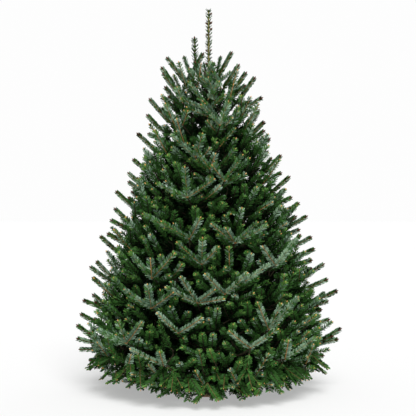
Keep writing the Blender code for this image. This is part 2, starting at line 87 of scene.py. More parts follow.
# height at the trunk, height at the outline, bend
SKIRTS = (
    (0.085, 0.022, 1.6),
    (0.160, 0.240, 1.5),
    (0.270, 0.490, 1.5),
    (0.480, 0.740, 1.5),
    (0.700, 0.980, 1.4),
    (0.910, 1.200, 1.2),
    (1.100, 1.400, 1.1),
    (1.310, 1.580, 1.05),
    (1.500, 1.760, 1.05),
)

# name, masses, turn of the first, on boughs, lift of the sprays
TIERS = (
    ("skirt", 6, 12.0, True, -4.0),
    ("lower", 6, -17.0, True, 5.0),
    ("lower_middle", 5, 20.0, True, 4.0),
    ("middle", 4, -38.0, False, 3.0),
    ("upper_middle", 4, 5.0, False, 2.0),
    ("upper", 3, -28.0, False, 1.0),
    ("shoulder", 3, 28.0, False, 1.0),
    ("crown", 3, -30.0, False, 2.0),
)

# Sprays of a mass: place across it and level
SPRAYS = (
    (-0.32, 0.20),
    (0.02, 0.22),
    (0.32, 0.24),
    (-0.20, 0.50),
    (0.22, 0.52),
    (-0.34, 0.79),
    (0.34, 0.78),
    (0.00, 0.80),
)
SPRAY_JITTER = 0.035
BOUGH_SHARE = 0.40
BOUGH_ROOT_RADIUS = 0.0125
BOUGH_TIP_RADIUS = 0.0085
STEM_SHARE = 0.66
STEM_ROOT_RADIUS = 0.0080
STEM_TIP_RADIUS = 0.0040
LEADING_SHOOT = 0.200
SIDE_SHOOT_SHARE = 0.70
SIDE_ANGLE = 48.0
TOP_SHOOT_SHARE = 0.90
LEAST_NODE_REACH = 0.05
SEED = 24

LEADER_FOOT = 1.590
LEADER_OFFSET = 0.011
LEADER_RING_HEIGHT = 1.615
LEADER_RING = (              # turn and rise in degrees, length
    (75.0, 80.0, 0.110),
    (150.0, 60.0, 0.120),
    (-148.0, 62.0, 0.115),
)

# Buds up the leader: height, turn in degrees, size
LEADER_BUDS = (
    (1.974, 80.0, 0.015),
    (1.926, 82.0, 0.017),
    (1.922, -90.0, 0.014),
    (1.893, 95.0, 0.017),
    (1.862, -80.0, 0.012),
    (1.782, 90.0, 0.012),
    (1.778, -85.0, 0.014),
    (1.710, -90.0, 0.014),
)

# Sprays that stand out on the front: place across, height, then for each shoot its lean from
# upright in degrees and its length.
FRONT_SPRAYS = (
    (0.06, 1.36, (-43, 0.13), (19, 0.12)),
    (0.01, 1.14, (-36, 0.13), (20, 0.07)),
    (-0.06, 1.20, (-48, 0.16), (16, 0.11)),
    (0.08, 1.08, (35, 0.15), (-38, 0.09)),
    (-0.10, 1.00, (-5, 0.14), (-66, 0.16), (56, 0.15)),
    (-0.09, 0.80, (-62, 0.25), (-58, 0.15), (28, 0.11)),
    (0.13, 0.78, (-32, 0.08), (48, 0.14), (-51, 0.14), (62, 0.17)),
    (-0.03, 0.68, (-48, 0.15), (43, 0.11), (2, 0.12)),
    (-0.27, 0.61, (-42, 0.16), (42, 0.16), (-3, 0.09)),
    (0.33, 0.67, (-36, 0.11), (41, 0.16)),
    (0.08, 0.54, (-43, 0.13), (46, 0.14), (57, 0.25)),
    (-0.05, 0.50, (-32, 0.14), (-63, 0.16), (50, 0.10), (78, 0.12)),
    (-0.27, 0.47, (-8, 0.11), (-57, 0.15), (52, 0.13)),
    (-0.14, 0.36, (-45, 0.13), (54, 0.13)),
    (0.29, 0.37, (25, 0.13), (44, 0.20), (-23, 0.14)),
    (0.20, 0.29, (-48, 0.13), (55, 0.15)),
    (-0.21, 0.20, (-61, 0.17), (-10, 0.08)),
    (-0.39, 0.30, (-70, 0.15), (-20, 0.11), (35, 0.13)),
    (0.37, 0.22, (57, 0.18), (5, 0.10)),
)

# Shoots that stand out at the two sides and the top: place across and height of the tip, lean
# from upright in degrees, and length.
EDGE_SHOOTS = (
    (-0.37, 1.34, -47, 0.14), (-0.31, 1.34, -65, 0.13), (-0.33, 1.23, -32, 0.15),
    (-0.39, 1.20, -51, 0.13), (-0.42, 1.13, -48, 0.16), (-0.41, 1.08, -57, 0.10),
    (-0.48, 1.03, -48, 0.17), (-0.40, 1.03, -49, 0.13), (-0.49, 0.94, -47, 0.15),
    (-0.51, 0.88, -63, 0.13), (-0.52, 0.81, -60, 0.11), (-0.57, 0.79, -48, 0.14),
    (-0.58, 0.66, -43, 0.13), (-0.62, 0.63, -56, 0.16), (-0.61, 0.57, -52, 0.10),
    (-0.61, 0.48, -51, 0.11), (-0.66, 0.45, -70, 0.11), (-0.67, 0.38, -63, 0.14),
    (-0.69, 0.32, -54, 0.14), (-0.68, 0.26, -76, 0.11), (-0.67, 0.20, -90, 0.10),
    (-0.62, 0.14, -101, 0.10),
    (0.29, 1.40, 43, 0.13), (0.29, 1.35, 54, 0.17), (0.32, 1.31, 50, 0.12),
    (0.38, 1.22, 44, 0.15), (0.38, 1.13, 64, 0.14), (0.43, 1.11, 49, 0.14),
    (0.35, 1.08, 56, 0.15), (0.40, 1.04, 50, 0.16), (0.43, 1.00, 64, 0.12),
    (0.48, 0.97, 54, 0.11), (0.52, 0.90, 60, 0.14), (0.46, 0.90, 62, 0.11),
    (0.48, 0.83, 69, 0.13), (0.54, 0.79, 63, 0.11), (0.48, 0.80, 37, 0.17),
    (0.55, 0.73, 66, 0.19), (0.54, 0.67, 78, 0.12), (0.60, 0.65, 58, 0.14),
    (0.62, 0.57, 67, 0.11), (0.67, 0.51, 66, 0.12), (0.63, 0.45, 73, 0.10),
    (0.59, 0.41, 86, 0.10), (0.64, 0.35, 72, 0.12), (0.69, 0.31, 61, 0.12),
    (0.68, 0.25, 78, 0.12), (0.60, 0.17, 92, 0.10),
)
TOP_SHOOTS = (
    (-0.029, 1.762, 30, 0.131), (-0.213, 1.738, -38, 0.193),
    (-0.124, 1.741, -19, 0.093), (-0.242, 1.688, -36, 0.112), (-0.232, 1.649, -37, 0.124),
    (-0.224, 1.585, -40, 0.111), (-0.235, 1.536, -45, 0.117), (-0.202, 1.533, -54, 0.097),
    (-0.301, 1.514, -41, 0.158), (-0.317, 1.434, -44, 0.108), (0.065, 1.749, 13, 0.112),
    (0.123, 1.770, 29, 0.138), (0.158, 1.693, 34, 0.144), (0.196, 1.653, 35, 0.100),
    (0.245, 1.636, 36, 0.129), (0.191, 1.591, 51, 0.125), (0.279, 1.528, 59, 0.145),
    (0.265, 1.465, 42, 0.101), (0.292, 1.399, 46, 0.097), (0.215, 1.510, 48, 0.111),
    (0.118, 1.623, 0, 0.083), (-0.065, 1.706, -21, 0.086), (-0.095, 1.650, 27, 0.085),
    (0.056, 1.649, 31, 0.083),
)
TOP_FRONT_SHOOTS = (
    (-0.095, 1.585, -36, 0.144), (-0.010, 1.469, -40, 0.108), (-0.091, 1.654, -46, 0.171),
    (0.080, 1.517, 47, 0.090), (0.113, 1.507, 22, 0.127), (-0.022, 1.481, -40, 0.124),
    (-0.032, 1.611, -42, 0.102), (-0.129, 1.500, -66, 0.109), (-0.100, 1.455, -67, 0.108),
    (-0.155, 1.559, -20, 0.076), (-0.105, 1.431, 21, 0.066),
    (0.004, 1.605, -16, 0.115), (0.052, 1.585, 32, 0.100), (0.012, 1.668, -28, 0.120),
    (0.020, 1.690, 14, 0.100),
)

# A shoot that stands upright beside the leader, in the same terms and sparsely set.
UPRIGHT_SHOOT = (-0.071, 1.840, -2, 0.15)

# Hanging forks: forks in a ring, lowest and highest node, least and greatest share of reach
FRINGE_RINGS = (
    (90, 0.115, 0.185, 0.80, 0.92),
    (46, 0.10, 0.16, 0.60, 0.74),
    (84, 0.070, 0.11, 0.74, 0.92),
    (44, 0.060, 0.085, 0.60, 0.74),
    (26, 0.055, 0.070, 0.46, 0.56),
)

# ---------------------------------------------------------------- how the crown grows

RISE = math.radians(14.0)    # how far shoots rise above the lobes of the solids
OPEN_LEVEL = 0.7             # level above which the topmost masses stay open
OPEN_TOP = 1.60              # height above which edge shoots often lack a side shoot
FILL_WEIGHTS = (24, 22, 18, 15, 12, 7, 4, 1)           # how fill sprays are dealt to the tiers
INNER_WEIGHTS = (17, 16, 17, 17, 13, 10, 8, 5)
INNER_TOP = 1.42
LOWEST_FOOT = 0.045
LOWEST_TWIG = 0.03
TRUNK_CLEARANCE = 0.010
POINT_SPACING = 0.018        # a growing shoot takes up room at points this far apart
BARE_FOOT = 0.022            # length of a shoot's foot that takes up none
FRONT_STRIDE = 0.03          # steps in which space in front of a shoot is kept free
FRESH_SHARE = 0.6            # share of the shoots with fresh needles round the bud
FRONT_NODE, FRONT_TIP = 0.86, 0.99         # how far out on the front nodes and tips lie
TOP_FRONT_NODE, TOP_FRONT_TIP = 0.66, 0.80
LAP = 0.004                  # how far a twig runs on into the fork that it bears

# Radii of twigs at the foot and at the tip
FORK_TWIG = (0.0036, 0.0024)
SIDE_TWIG = (0.0032, 0.0024)
FILL_TWIG = (0.0036, 0.0022)
FRINGE_TWIG = (0.0040, 0.0026)
TOP_TWIG = (0.0048, 0.0026)
LEADER_STEM = (0.0062, 0.0034)

# Radius and length of buds
GOLDEN_BUD = (0.0044, 0.0120)
SHADED_BUD = (0.0062, 0.0170)
SIDE_BUD = (0.0042, 0.0120)
TOP_BUD = (0.0060, 0.0180)
LEAST_BUDDED = 0.06          # shorter shoots bear no bud

NEW, SIDE, BACK, OLD = 0, 1, 2, 3          # ages of shoots, from the outermost to the innermost

TOP_TINT_HEIGHT = 1.40
# The fifth and sixth tints are painted shade: darker greens for needles inside the crown, where
# shade falls.
TINTS = ("blue_light", "blue_grey", "mid_green", "leaf_green", "shaded_green", "deep_green",
         "fresh_green")
MID_GREEN, LEAF_GREEN = TINTS.index("mid_green"), TINTS.index("leaf_green")
SHADED, DEEP_SHADE, FRESH = LEAF_GREEN + 1, LEAF_GREEN + 2, LEAF_GREEN + 3

# ---------------------------------------------------------------- how needles stand

BUNCH_SPACING = 0.0135       # needles stand in bunches along a shoot
FULL_TURN_STEP = 137.508     # degrees from each needle to the next round the stem
PARTED_SHARE = 128.0 / 180.0           # how far round the stem the spiral reaches
STEM_IN_SIGHT = 0.62         # how far edge needles draw towards the top and the underside
RANK, RANK_WIDTH = 1.40, 0.40          # place and width of the two ranks on fringe shoots
STEEP = 0.35                 # a shoot whose line is this near the upright has no underside
THINNED = 0.40               # share of the needles kept deep inside
FEWEST_NEEDLES = 6
OLD_BREADTH = 3.8
SAME_BUNCH = 0.86            # share of the needles that take the tint dealt to their bunch
# Thresholds for dealing tints: the darker steps are partly random tone and partly painted shade
# between bunches, and the paler step is partly a painted highlight.
LIGHTER_FROM, DARKER_BELOW, SHADED_BELOW, DEEP_SHADE_BELOW = 0.72, 0.38, 0.24, 0.07
FRESH_NEEDLES = 0.55
OPEN_TOP_LIGHT = 0.035       # how much deeper light reaches into the top


class Habit(NamedTuple):
    """How needles stand on one kind of shoot."""

    crowd: float             # needles, to the usual number
    gather: float            # share of its space that a bunch takes up
    closing: float           # how far needles close up at the tip
    taper: float             # how much shorter they get there
    near_top: float          # change of size in the top of the tree
    size: float
    breadth: float
    deal_from: float         # least of the numbers that deal out dark to pale tints
    deal_range: float


HABITS = {
    "plain": Habit(1.0, 0.42, 0.30, 0.26, -0.14, 1.0, 1.0, 0.0, 1.0),
    "bold": Habit(1.15, 0.42, 0.30, 0.26, 0.02, 1.05, 1.0, 0.08, 0.80),
    "edge": Habit(1.15, 0.90, 0.12, 0.12, 0.02, 0.87, 1.25, 0.0, 0.80),
    # The fringe habit deals mostly darker tints: painted shade on the low fringe under the crown.
    "fringe": Habit(1.2, 0.72, 0.30, 0.26, -0.14, 1.0, 0.9, -0.03, 0.45),
}

NEEDLE_BLOOM = 0.22          # how much paler needles are underneath
BARK_RING_GAP = 0.008

# ---------------------------------------------------------------- the stage

FLOOR_SIZE = 120.0
FLOOR_COLOUR = (0.540, 0.540, 0.540, 1.0)
FLOOR_GLOW = 0.37
SKY_LIGHT = 0.36
SKY_SEEN = 0.985
SUNS = (                     # name, energy, spread, tilt and turn in degrees
    ("key_light", 3.1, 40.0, 38.0, 11.0),
    ("left_rim_light", 0.08, 40.0, 66.0, -140.0),
    ("right_rim_light", 0.26, 40.0, 66.0, 140.0),
)
CAMERA_PLACE = (0.0, -5.0, 0.949)
SENSOR_WIDTH = 36.0
FOCAL_PIXELS = 943.0         # focal length in pixels of a picture PICTURE_WIDTH pixels wide
PICTURE_WIDTH = 416.0


# ---------------------------------------------------------------- user settings


def settings():
    return bpy.context.scene.christmas_tree


def length_setting(name, description, default, least, most):
    return bpy.props.FloatProperty(
        name=name, description=description, default=default, min=least, max=most,
        subtype="DISTANCE", unit="LENGTH")


def count_setting(name, description, default, least, most):
    return bpy.props.IntProperty(
        name=name, description=description, default=default, min=least, max=most)


def colour_setting(name, description, default):
    return bpy.props.FloatVectorProperty(
        name=name, description=description, default=default, size=3, min=0.0, max=1.0,
        subtype="COLOR")


class TreeSettings(bpy.types.PropertyGroup):
    """Sizes and colours of the tree's finish."""

    needle_length: length_setting(
        "Needle Length", "Length of a grown needle", 0.0225, 0.005, 0.05)
    needle_width: length_setting(
        "Needle Width", "Breadth of a needle at its widest", 0.0035, 0.0005, 0.01)
    needles_per_metre: count_setting(
        "Needles per Metre", "Needles on each metre of an outer shoot", 1480, 100, 5000)
    side_set: bpy.props.FloatProperty(
        name="Needle Set", description="Angle between a shoot and the needles at its sides",
        default=math.radians(54.0), min=0.1, max=1.5, subtype="ANGLE", unit="ROTATION")
    stem_radius: length_setting(
        "Young Stem Radius", "Radius of a young stem at its foot", 0.0032, 0.0005, 0.01)
    # The two depths below say where painted shade goes: needles this far inside the outline take
    # the shaded green, then the darkest green.
    half_shade_depth: length_setting(
        "Half Shade Depth", "Depth inside the outline where needles are duller", 0.100, 0.0, 1.0)
    shade_depth: length_setting(
        "Shade Depth", "Depth inside the outline at which needles turn dark", 0.155, 0.0, 1.0)
    fill_sprays: count_setting(
        "Fill Sprays", "Short sprays tried in the open places of the crown", 8000, 0, 60000)
    inner_shoots: count_setting(
        "Inner Shoots", "Shaded shoots tried inside the crown", 12000, 0, 60000)
    blue_light: colour_setting(
        "Pale Blue Green", "Needles of the palest sprays", (0.305, 0.455, 0.288))
    blue_grey: colour_setting(
        "Grey Green", "Needles of most outer sprays", (0.138, 0.238, 0.140))
    mid_green: colour_setting(
        "Middle Green", "Needles of the middle sprays", (0.092, 0.236, 0.059))
    leaf_green: colour_setting(
        "Leaf Green", "Needles of the lower sprays", (0.066, 0.206, 0.031))
    # Painted shade: these two darker greens stand in for the shade inside the crown.
    shaded_green: colour_setting(
        "Shaded Green", "Needles a little way inside the crown", (0.042, 0.128, 0.024))
    deep_green: colour_setting(
        "Deep Green", "Needles inside the crown", (0.007, 0.024, 0.005))
    fresh_green: colour_setting(
        "Fresh Green", "Needles round the buds", (0.135, 0.290, 0.055))
    young_stem: colour_setting(
        "Young Stem", "Bark of this year's shoots", (0.420, 0.215, 0.075))
    # A duller copy of the young stem: partly the shoots' own duller bark and partly painted
    # shade.
    green_stem: colour_setting(
        "Green Stem", "Bark of the shoots behind the leading ones", (0.150, 0.105, 0.034))
    leader_stem: colour_setting(
        "Leader Stem", "Bark of the topmost shoot", (0.300, 0.250, 0.085))
    old_twig: colour_setting("Old Twig", "Bark of older twigs", (0.030, 0.024, 0.012))
    bud: colour_setting("Bud", "Buds at the tips of the shoots", (0.700, 0.370, 0.100))
    # Painted shade: a dark, shaded copy of the bud colour, for the buds of the edge shoots and
    # the leader.
    shaded_bud: colour_setting(
        "Brown Bud", "Buds of the shoots that stand out at the edges", (0.090, 0.030, 0.009))
    bark: colour_setting("Bark", "Bark of the trunk and boughs", (0.060, 0.045, 0.032))
    sawn_wood: colour_setting("Sawn Wood", "Planks of the stand", (0.270, 0.175, 0.095))


# ---------------------------------------------------------------- shape of the crown


def outline_reach(height):
    """How far the furthest tips reach at a height."""
    if height < WIDEST_HEIGHT:
        return WIDEST_REACH - UNDERCUT * (WIDEST_HEIGHT - height)
    share = max(0.0, (OUTLINE_TOP - height) / (OUTLINE_TOP - WIDEST_HEIGHT))
    return WIDEST_REACH * share ** OUTLINE_POWER


def outline_reaches(heights):
    """The outline's reach at many heights at once."""
    share = np.clip((OUTLINE_TOP - heights) / (OUTLINE_TOP - WIDEST_HEIGHT), 0.02, 1.0)
    return np.where(heights < WIDEST_HEIGHT, WIDEST_REACH - UNDERCUT * (WIDEST_HEIGHT - heights),
                    WIDEST_REACH * share ** OUTLINE_POWER)


def depths_inside(places):
    """How far inside the outline places lie; less so in the narrow top, which lets light in."""
    light = OPEN_TOP_LIGHT * np.clip((places[:, 2] - 1.25) / 0.30, 0.0, 1.0)
    return outline_reaches(places[:, 2]) - np.hypot(places[:, 0], places[:, 1]) - light


# Whether a place lies deep enough inside the crown to take painted shade.
def shaded_place(place):
    return depths_inside(np.array([tuple(place)]))[0] > settings().half_shade_depth


def lowest_shoot(x, y):
    """How near the floor shoots come: nearer at the front and back than at the two sides."""
    return 0.028 + 0.072 * (x * x / max(x * x + y * y, 1e-6)) ** 0.7


def skirt_height(skirt, reach):
    at_trunk, at_outline, bend = SKIRTS[skirt]
    share = reach / outline_reach(at_outline)
    return at_trunk + (at_outline - at_trunk) * share ** bend


def crown_height(tier, reach, level):
    below = skirt_height(tier, reach)
    above = skirt_height(tier + 1, reach)
    return below + (above - below) * level


def outward_way(turn):
    return Vector((math.sin(turn), -math.cos(turn), 0.0))


def crown_point(tier, reach, turn, level):
    return Vector((
        reach * math.sin(turn),
        -reach * math.cos(turn),
        crown_height(tier, reach, level),
    ))


def front_point(across, height, share):
    """A place on the front at a share of the outline's depth."""
    depth = math.sqrt(max(0.0, outline_reach(height) ** 2 - across ** 2))
    return Vector((across, -share * depth, height))


def tip_reach(tier, level):
    reach = outline_reach(SKIRTS[tier][1])
    for _ in range(12):
        reach = 0.5 * (reach + outline_reach(crown_height(tier, reach, level)))
    return reach


def heading(tier, reach, turn, level, lift):
    """The way along which a spray grows outwards between its skirts."""
    step = 0.01
    rise = crown_height(tier, reach + step, level) - crown_height(tier, reach - step, level)
    slope = math.atan2(rise, 2.0 * step) + lift
    return outward_way(turn) * math.cos(slope) + Vector((0.0, 0.0, math.sin(slope)))


def lay_out_spray(tier, turn, level, length, lift, draw):
    """Node and tip of a leading shoot, and the tips of its side shoots."""
    tip_at = tip_reach(tier, level) * (1.0 + draw.uniform(-0.05, 0.03))
    way = heading(tier, max(tip_at - length, 0.4 * tip_at), turn, level, lift)
    node_reach = max(tip_at - length * math.hypot(way.x, way.y), LEAST_NODE_REACH)
    node = crown_point(tier, node_reach, turn, level)
    side_tips = []
    for hand in (-1.0, 1.0):
        swing = hand * math.radians(SIDE_ANGLE + draw.uniform(-6.0, 6.0))
        side_way = Matrix.Rotation(swing, 3, "Z") @ way
        side_way.z += draw.uniform(-0.12, 0.08)
        side_length = length * SIDE_SHOOT_SHARE * draw.uniform(0.85, 1.1)
        side_tips.append(node + side_way.normalized() * side_length)
    return node, node + way * length, side_tips


def mass_place(tier, number):
    """Turn, level and reach of one mass, and the draws that its rule goes on with."""
    _, count, first_turn, _, _ = TIERS[tier]
    rule = random.Random(SEED + 100 * tier + number)
    level = 0.5 + rule.uniform(-0.08, 0.08)
    turn = math.radians(first_turn + 360.0 * number / count)
    return turn, level, tip_reach(tier, level), rule


def stem_points(tier, turn, level, start, end, count):
    """Points along a stem; one that starts at no reach starts on the trunk's axis."""
    points = []
    for step in range(count):
        reach = start + (end - start) * step / (count - 1)
        points.append(crown_point(tier, reach, turn, level))
    if start == 0.0:
        points[0] += trunk_axis(points[0].z) - Vector((0.0, 0.0, points[0].z))
    return points


def size_at(tier):
    share = tier / (len(TIERS) - 1)
    return 1.0 + (TOP_SHOOT_SHARE - 1.0) * share


def trunk_axis(height):
    """Middle of the trunk at a height: a slight sway, and the blunt end leaning aside."""
    share = (height - BOARD_THICKNESS - GAP) / (TRUNK_TOP - BOARD_THICKNESS - GAP)
    x = TRUNK_SWAY * math.sin(math.pi * share)
    y = 0.6 * TRUNK_SWAY * math.sin(2.0 * math.pi * share)
    above_fork = max(0.0, height - (TRUNK_TOP - STUB_HEIGHT))
    return Vector((x - STUB_LEAN * above_fork / STUB_HEIGHT, y, height))


def trunk_radius(height):
    share = height / TRUNK_TOP
    flare = TRUNK_FLARE * max(0.0, 1.0 - (height - BOARD_THICKNESS) / TRUNK_FLARE_HEIGHT)
    return TRUNK_BASE_RADIUS + (TRUNK_TOP_RADIUS - TRUNK_BASE_RADIUS) * share + flare


# ---------------------------------------------------------------- growing the crown


class Room:
    """The places already taken by shoots, kept in cubes so that near ones are found quickly."""

    CUBE = 0.04

    def __init__(self):
        self.cubes = {}

    def key(self, point):
        return tuple(math.floor(part / self.CUBE) for part in point)

    def take(self, point, margin=0.0):
        self.cubes.setdefault(self.key(point), []).append((point, margin))

    def taken(self, point, gap):
        home = self.key(point)
        for x in range(home[0] - 1, home[0] + 2):
            for y in range(home[1] - 1, home[1] + 2):
                for z in range(home[2] - 1, home[2] + 2):
                    for other, margin in self.cubes.get((x, y, z), ()):
                        if (other - point).length_squared < (gap + margin) ** 2:
                            return True
        return False


class Shoot(NamedTuple):
    """A needle-clad stretch of twig: a foot, a way out that bends into a way on, and a length."""

    foot: Vector
    start: Vector
    end: Vector
    length: float
    tint: str
    vigour: float = 1.0
    fresh: bool = False
    age: int = NEW
    habit: str = "plain"

    def at(self, share):
        start = self.start * (share - share * share / 2.0)
        return self.foot + (start + self.end * (share * share / 2.0)) * self.length


class Crown:
    """Everything that grows: shoots with needles, and bare wood as lines of points."""

    def __init__(self):
        self.room = Room()
        self.shoots = []
        self.sparse = []
        self.wood = []
        self.anchors = []
        self.leader_foot = None
        self.leader_tip = None

    def fits(self, foot, way, length, gap, slack):
        if foot.z < LOWEST_FOOT:
            return False
        for share in (0.45, 0.72, 1.0):
            point = foot + way * (length * share)
            reach = math.hypot(point.x, point.y)
            if point.z < lowest_shoot(point.x, point.y):
                return False
            if point.z < TRUNK_TOP and reach < trunk_radius(point.z) + TRUNK_CLEARANCE:
                return False
            if share == 1.0 and reach > outline_reach(point.z) * slack:
                return False
            if gap > 0.0 and self.room.taken(point, gap):
                return False
        return True

    def shoot(self, foot, way, length, tint, draw, gap=0.024, slack=1.0, vigour=1.0, age=NEW,
              bend=None, margin=0.0, clear=0.0, habit="plain"):
        """Grows one shoot if there is room for it. Clear is a space kept free in front of it."""
        way = way.normalized()
        if not self.fits(foot, way, length, gap, slack):
            return None
        if bend is None:
            bend = draw.uniform(0.02, 0.16)
        lean = UP - way * way.z
        start = (way - lean * bend).normalized()
        end = (way + lean * bend).normalized()
        fresh = draw.random() < FRESH_SHARE and habit != "edge"
        grown = Shoot(foot.copy(), start, end, length, tint, vigour, fresh, age, habit)
        self.shoots.append(grown)
        steps = max(2, int(length / POINT_SPACING))
        for step in range(1, steps + 1):
            if length * (step / steps) <= BARE_FOOT:
                continue
            point = grown.at(step / steps)
            self.room.take(point, margin)
            for stride in range(1, 1 + int(clear / FRONT_STRIDE)):
                self.room.take(point - Vector((0.0, FRONT_STRIDE * stride, 0.0)), margin)
        return grown

    def fork(self, node, way, length, tint, draw, gap, slack=1.0, habit="plain"):
        """A leading shoot with a side shoot on each hand."""
        lead = self.shoot(node, way, length, tint, draw, gap, slack, habit=habit)
        for hand in (-1.0, 1.0):
            swing = hand * math.radians(draw.uniform(42.0, 56.0))
            self.shoot(node, turned(way, swing, draw.uniform(-0.18, 0.10)),
                       length * draw.uniform(0.66, 0.86), tint, draw, gap, slack, habit=habit)
        return lead

    def twig(self, points, start_radius, end_radius):
        self.wood.append((points, start_radius, end_radius))

    def anchor_near(self, place):
        return min(self.anchors, key=lambda point: (point - place).length_squared)


def spray_tint(height, leading, draw):
    """A colour for a spray: blue-grey on the leading sprays, greener behind and low down."""
    share = height / TREE_HEIGHT
    if leading and height > TOP_TINT_HEIGHT:
        weights = (0.08, 0.80, 0.12, 0.0)
    elif leading:
        weights = (0.20, 0.58, 0.18, 0.10 - 0.14 * share)
    else:
        weights = (0.05, 0.40 + 0.22 * share, 0.38, 0.18 - 0.18 * share)
    return draw.choices(TINTS[:SHADED], [max(0.0, weight) for weight in weights])[0]


def turned(way, swing, lift):
    """A way swung sideways about the upright and lifted."""
    side = Matrix.Rotation(swing, 3, "Z") @ way
    flat = math.hypot(side.x, side.y)
    rise = math.atan2(side.z, flat) + lift
    if flat < 1e-6:
        return side
    return Vector((side.x / flat * math.cos(rise), side.y / flat * math.cos(rise),
                   math.sin(rise)))


def grow_behind(crown, root, node, way, length, tint, draw):
    """The older twig behind a fork, with the side twigs it bore in earlier years."""
    gap = 0.027
    span = (node - root).length
    if span < 0.03:
        return
    line = (node - root).normalized()
    middle = root.lerp(node, 0.5) + Vector((0.0, 0.0, -0.06 * span))
    crown.twig([root, middle, node + way * LAP], *FORK_TWIG)
    clad = min(span * 0.8, 0.20)
    crown.shoot(node - line * clad, line, clad, tint, draw, gap=0.0, slack=2.0, vigour=0.8,
                age=BACK, bend=0.03)
    place = draw.uniform(0.06, 0.08)
    while place < min(span - 0.02, 0.30):
        foot = node - line * place
        side_tint = spray_tint(foot.z, False, draw)
        for hand in (-1.0, 1.0):
            swing = hand * math.radians(draw.uniform(46.0, 62.0))
            side = turned(line, swing, draw.uniform(0.0, 0.5))
            reach = draw.uniform(0.075, 0.115)
            if place <= 0.10:
                crown.shoot(foot, side, reach, side_tint, draw, gap=gap, slack=0.94)
                continue
            base = crown.shoot(foot, side, reach, side_tint, draw, gap=gap, vigour=0.9,
                               age=SIDE, slack=0.90)
            if base is not None:
                crown.twig([base.at(0.0), base.at(0.5), base.at(1.0)], *SIDE_TWIG)
                crown.fork(base.at(0.97), base.end, reach * draw.uniform(0.85, 1.15), side_tint,
                           draw, gap, 0.94)
        tilt = draw.uniform(0.5, 0.9) * draw.choice((-1.0, 1.0))
        tilted = turned(line, draw.uniform(-0.5, 0.5), tilt)
        crown.shoot(foot, tilted, draw.uniform(0.06, 0.09), side_tint, draw, gap=gap,
                    slack=0.92)
        place += draw.uniform(0.060, 0.085)


def grow_mass(crown, tier, number):
    """One mass of foliage, by the same rule and the same draws as its solid."""
    _, count, _, has_bough, lift = TIERS[tier]
    mass_turn, level, far, rule = mass_place(tier, number)
    draw = random.Random(7000 + 100 * tier + number)
    half_width = math.pi / count
    if has_bough:
        points = stem_points(tier, mass_turn, level, far * BOUGH_SHARE, far * STEM_SHARE, 3)
    else:
        points = stem_points(tier, mass_turn, level, 0.0, far * STEM_SHARE, 5)
    crown.twig(points, STEM_ROOT_RADIUS, STEM_TIP_RADIUS)
    crown.anchors.extend(points[1:])
    length = LEADING_SHOOT * size_at(tier)
    for across, spray_level in SPRAYS:
        across += rule.uniform(-SPRAY_JITTER, SPRAY_JITTER)
        spray_level += rule.uniform(-SPRAY_JITTER, SPRAY_JITTER)
        turn = mass_turn + 2.0 * half_width * across
        root = points[-2].lerp(points[-1], rule.uniform(0.2, 0.8))
        spray_length = length * rule.uniform(0.88, 1.12)
        node, tip, side_tips = lay_out_spray(tier, turn, spray_level, spray_length,
                                             math.radians(lift), rule)
        for _ in range(3):                 # draws that the solids use up to turn their shoots
            rule.uniform(0.0, 2.0)
        if tier == len(TIERS) - 1 and spray_level > OPEN_LEVEL:
            continue
        way = (tip - node).normalized()
        tint = spray_tint(node.z, True, draw)
        lead = crown.shoot(node, turned(way, 0.0, RISE), (tip - node).length - 0.008, tint, draw,
                           gap=0.034, slack=1.02, margin=0.004)
        if lead is None:
            continue
        for side_tip in side_tips:
            side = side_tip - node
            crown.shoot(node, turned(side.normalized(), 0.0, RISE), side.length - 0.006, tint,
                        draw, gap=0.028, slack=1.02, margin=0.004)
        grow_behind(crown, root, node, way, spray_length, tint, draw)
        crown.anchors.append(node)


def grow_front(crown):
    """The sprays that stand out on the front, rising in small tridents."""
    draw = random.Random(311)
    for across, height, *forks in FRONT_SPRAYS:
        node = front_point(across, height, FRONT_NODE)
        tint = draw.choice(("blue_light", "blue_grey"))
        for lean, length in forks:
            lean = math.radians(lean)
            tip = front_point(across + math.sin(lean) * length,
                              height + math.cos(lean) * length, FRONT_TIP)
            way = tip - node
            crown.shoot(node, way, way.length, tint, draw, gap=0.0, slack=1.15, margin=0.006,
                        clear=0.12, bend=0.05, habit="bold")
        inward = Vector((-0.5 * node.x, -0.5 * node.y, 0.0)).normalized()
        root = node + inward * min(0.22, -0.5 * node.y) - UP * 0.07
        grow_behind(crown, root, node, way, length, tint, draw)
        crown.anchors.append(node)


def grow_top_front(crown):
    """Shoots that stand out on the front of the open top."""
    draw = random.Random(271)
    for across, height, lean, length in TOP_FRONT_SHOOTS:
        lean = math.radians(lean)
        tip = front_point(across, height, TOP_FRONT_TIP)
        node = front_point(across - math.sin(lean) * length, height - math.cos(lean) * length,
                           TOP_FRONT_NODE)
        way = tip - node
        crown.shoot(node, way, way.length, "blue_grey", draw, gap=0.0, slack=2.0, bend=0.04,
                    margin=0.004, habit="bold")
        root = trunk_axis(max(1.0, min(node.z - 0.10, 1.5)))
        crown.twig([root, root.lerp(node, 0.5) - UP * 0.02, node + way * LAP], *TOP_TWIG)


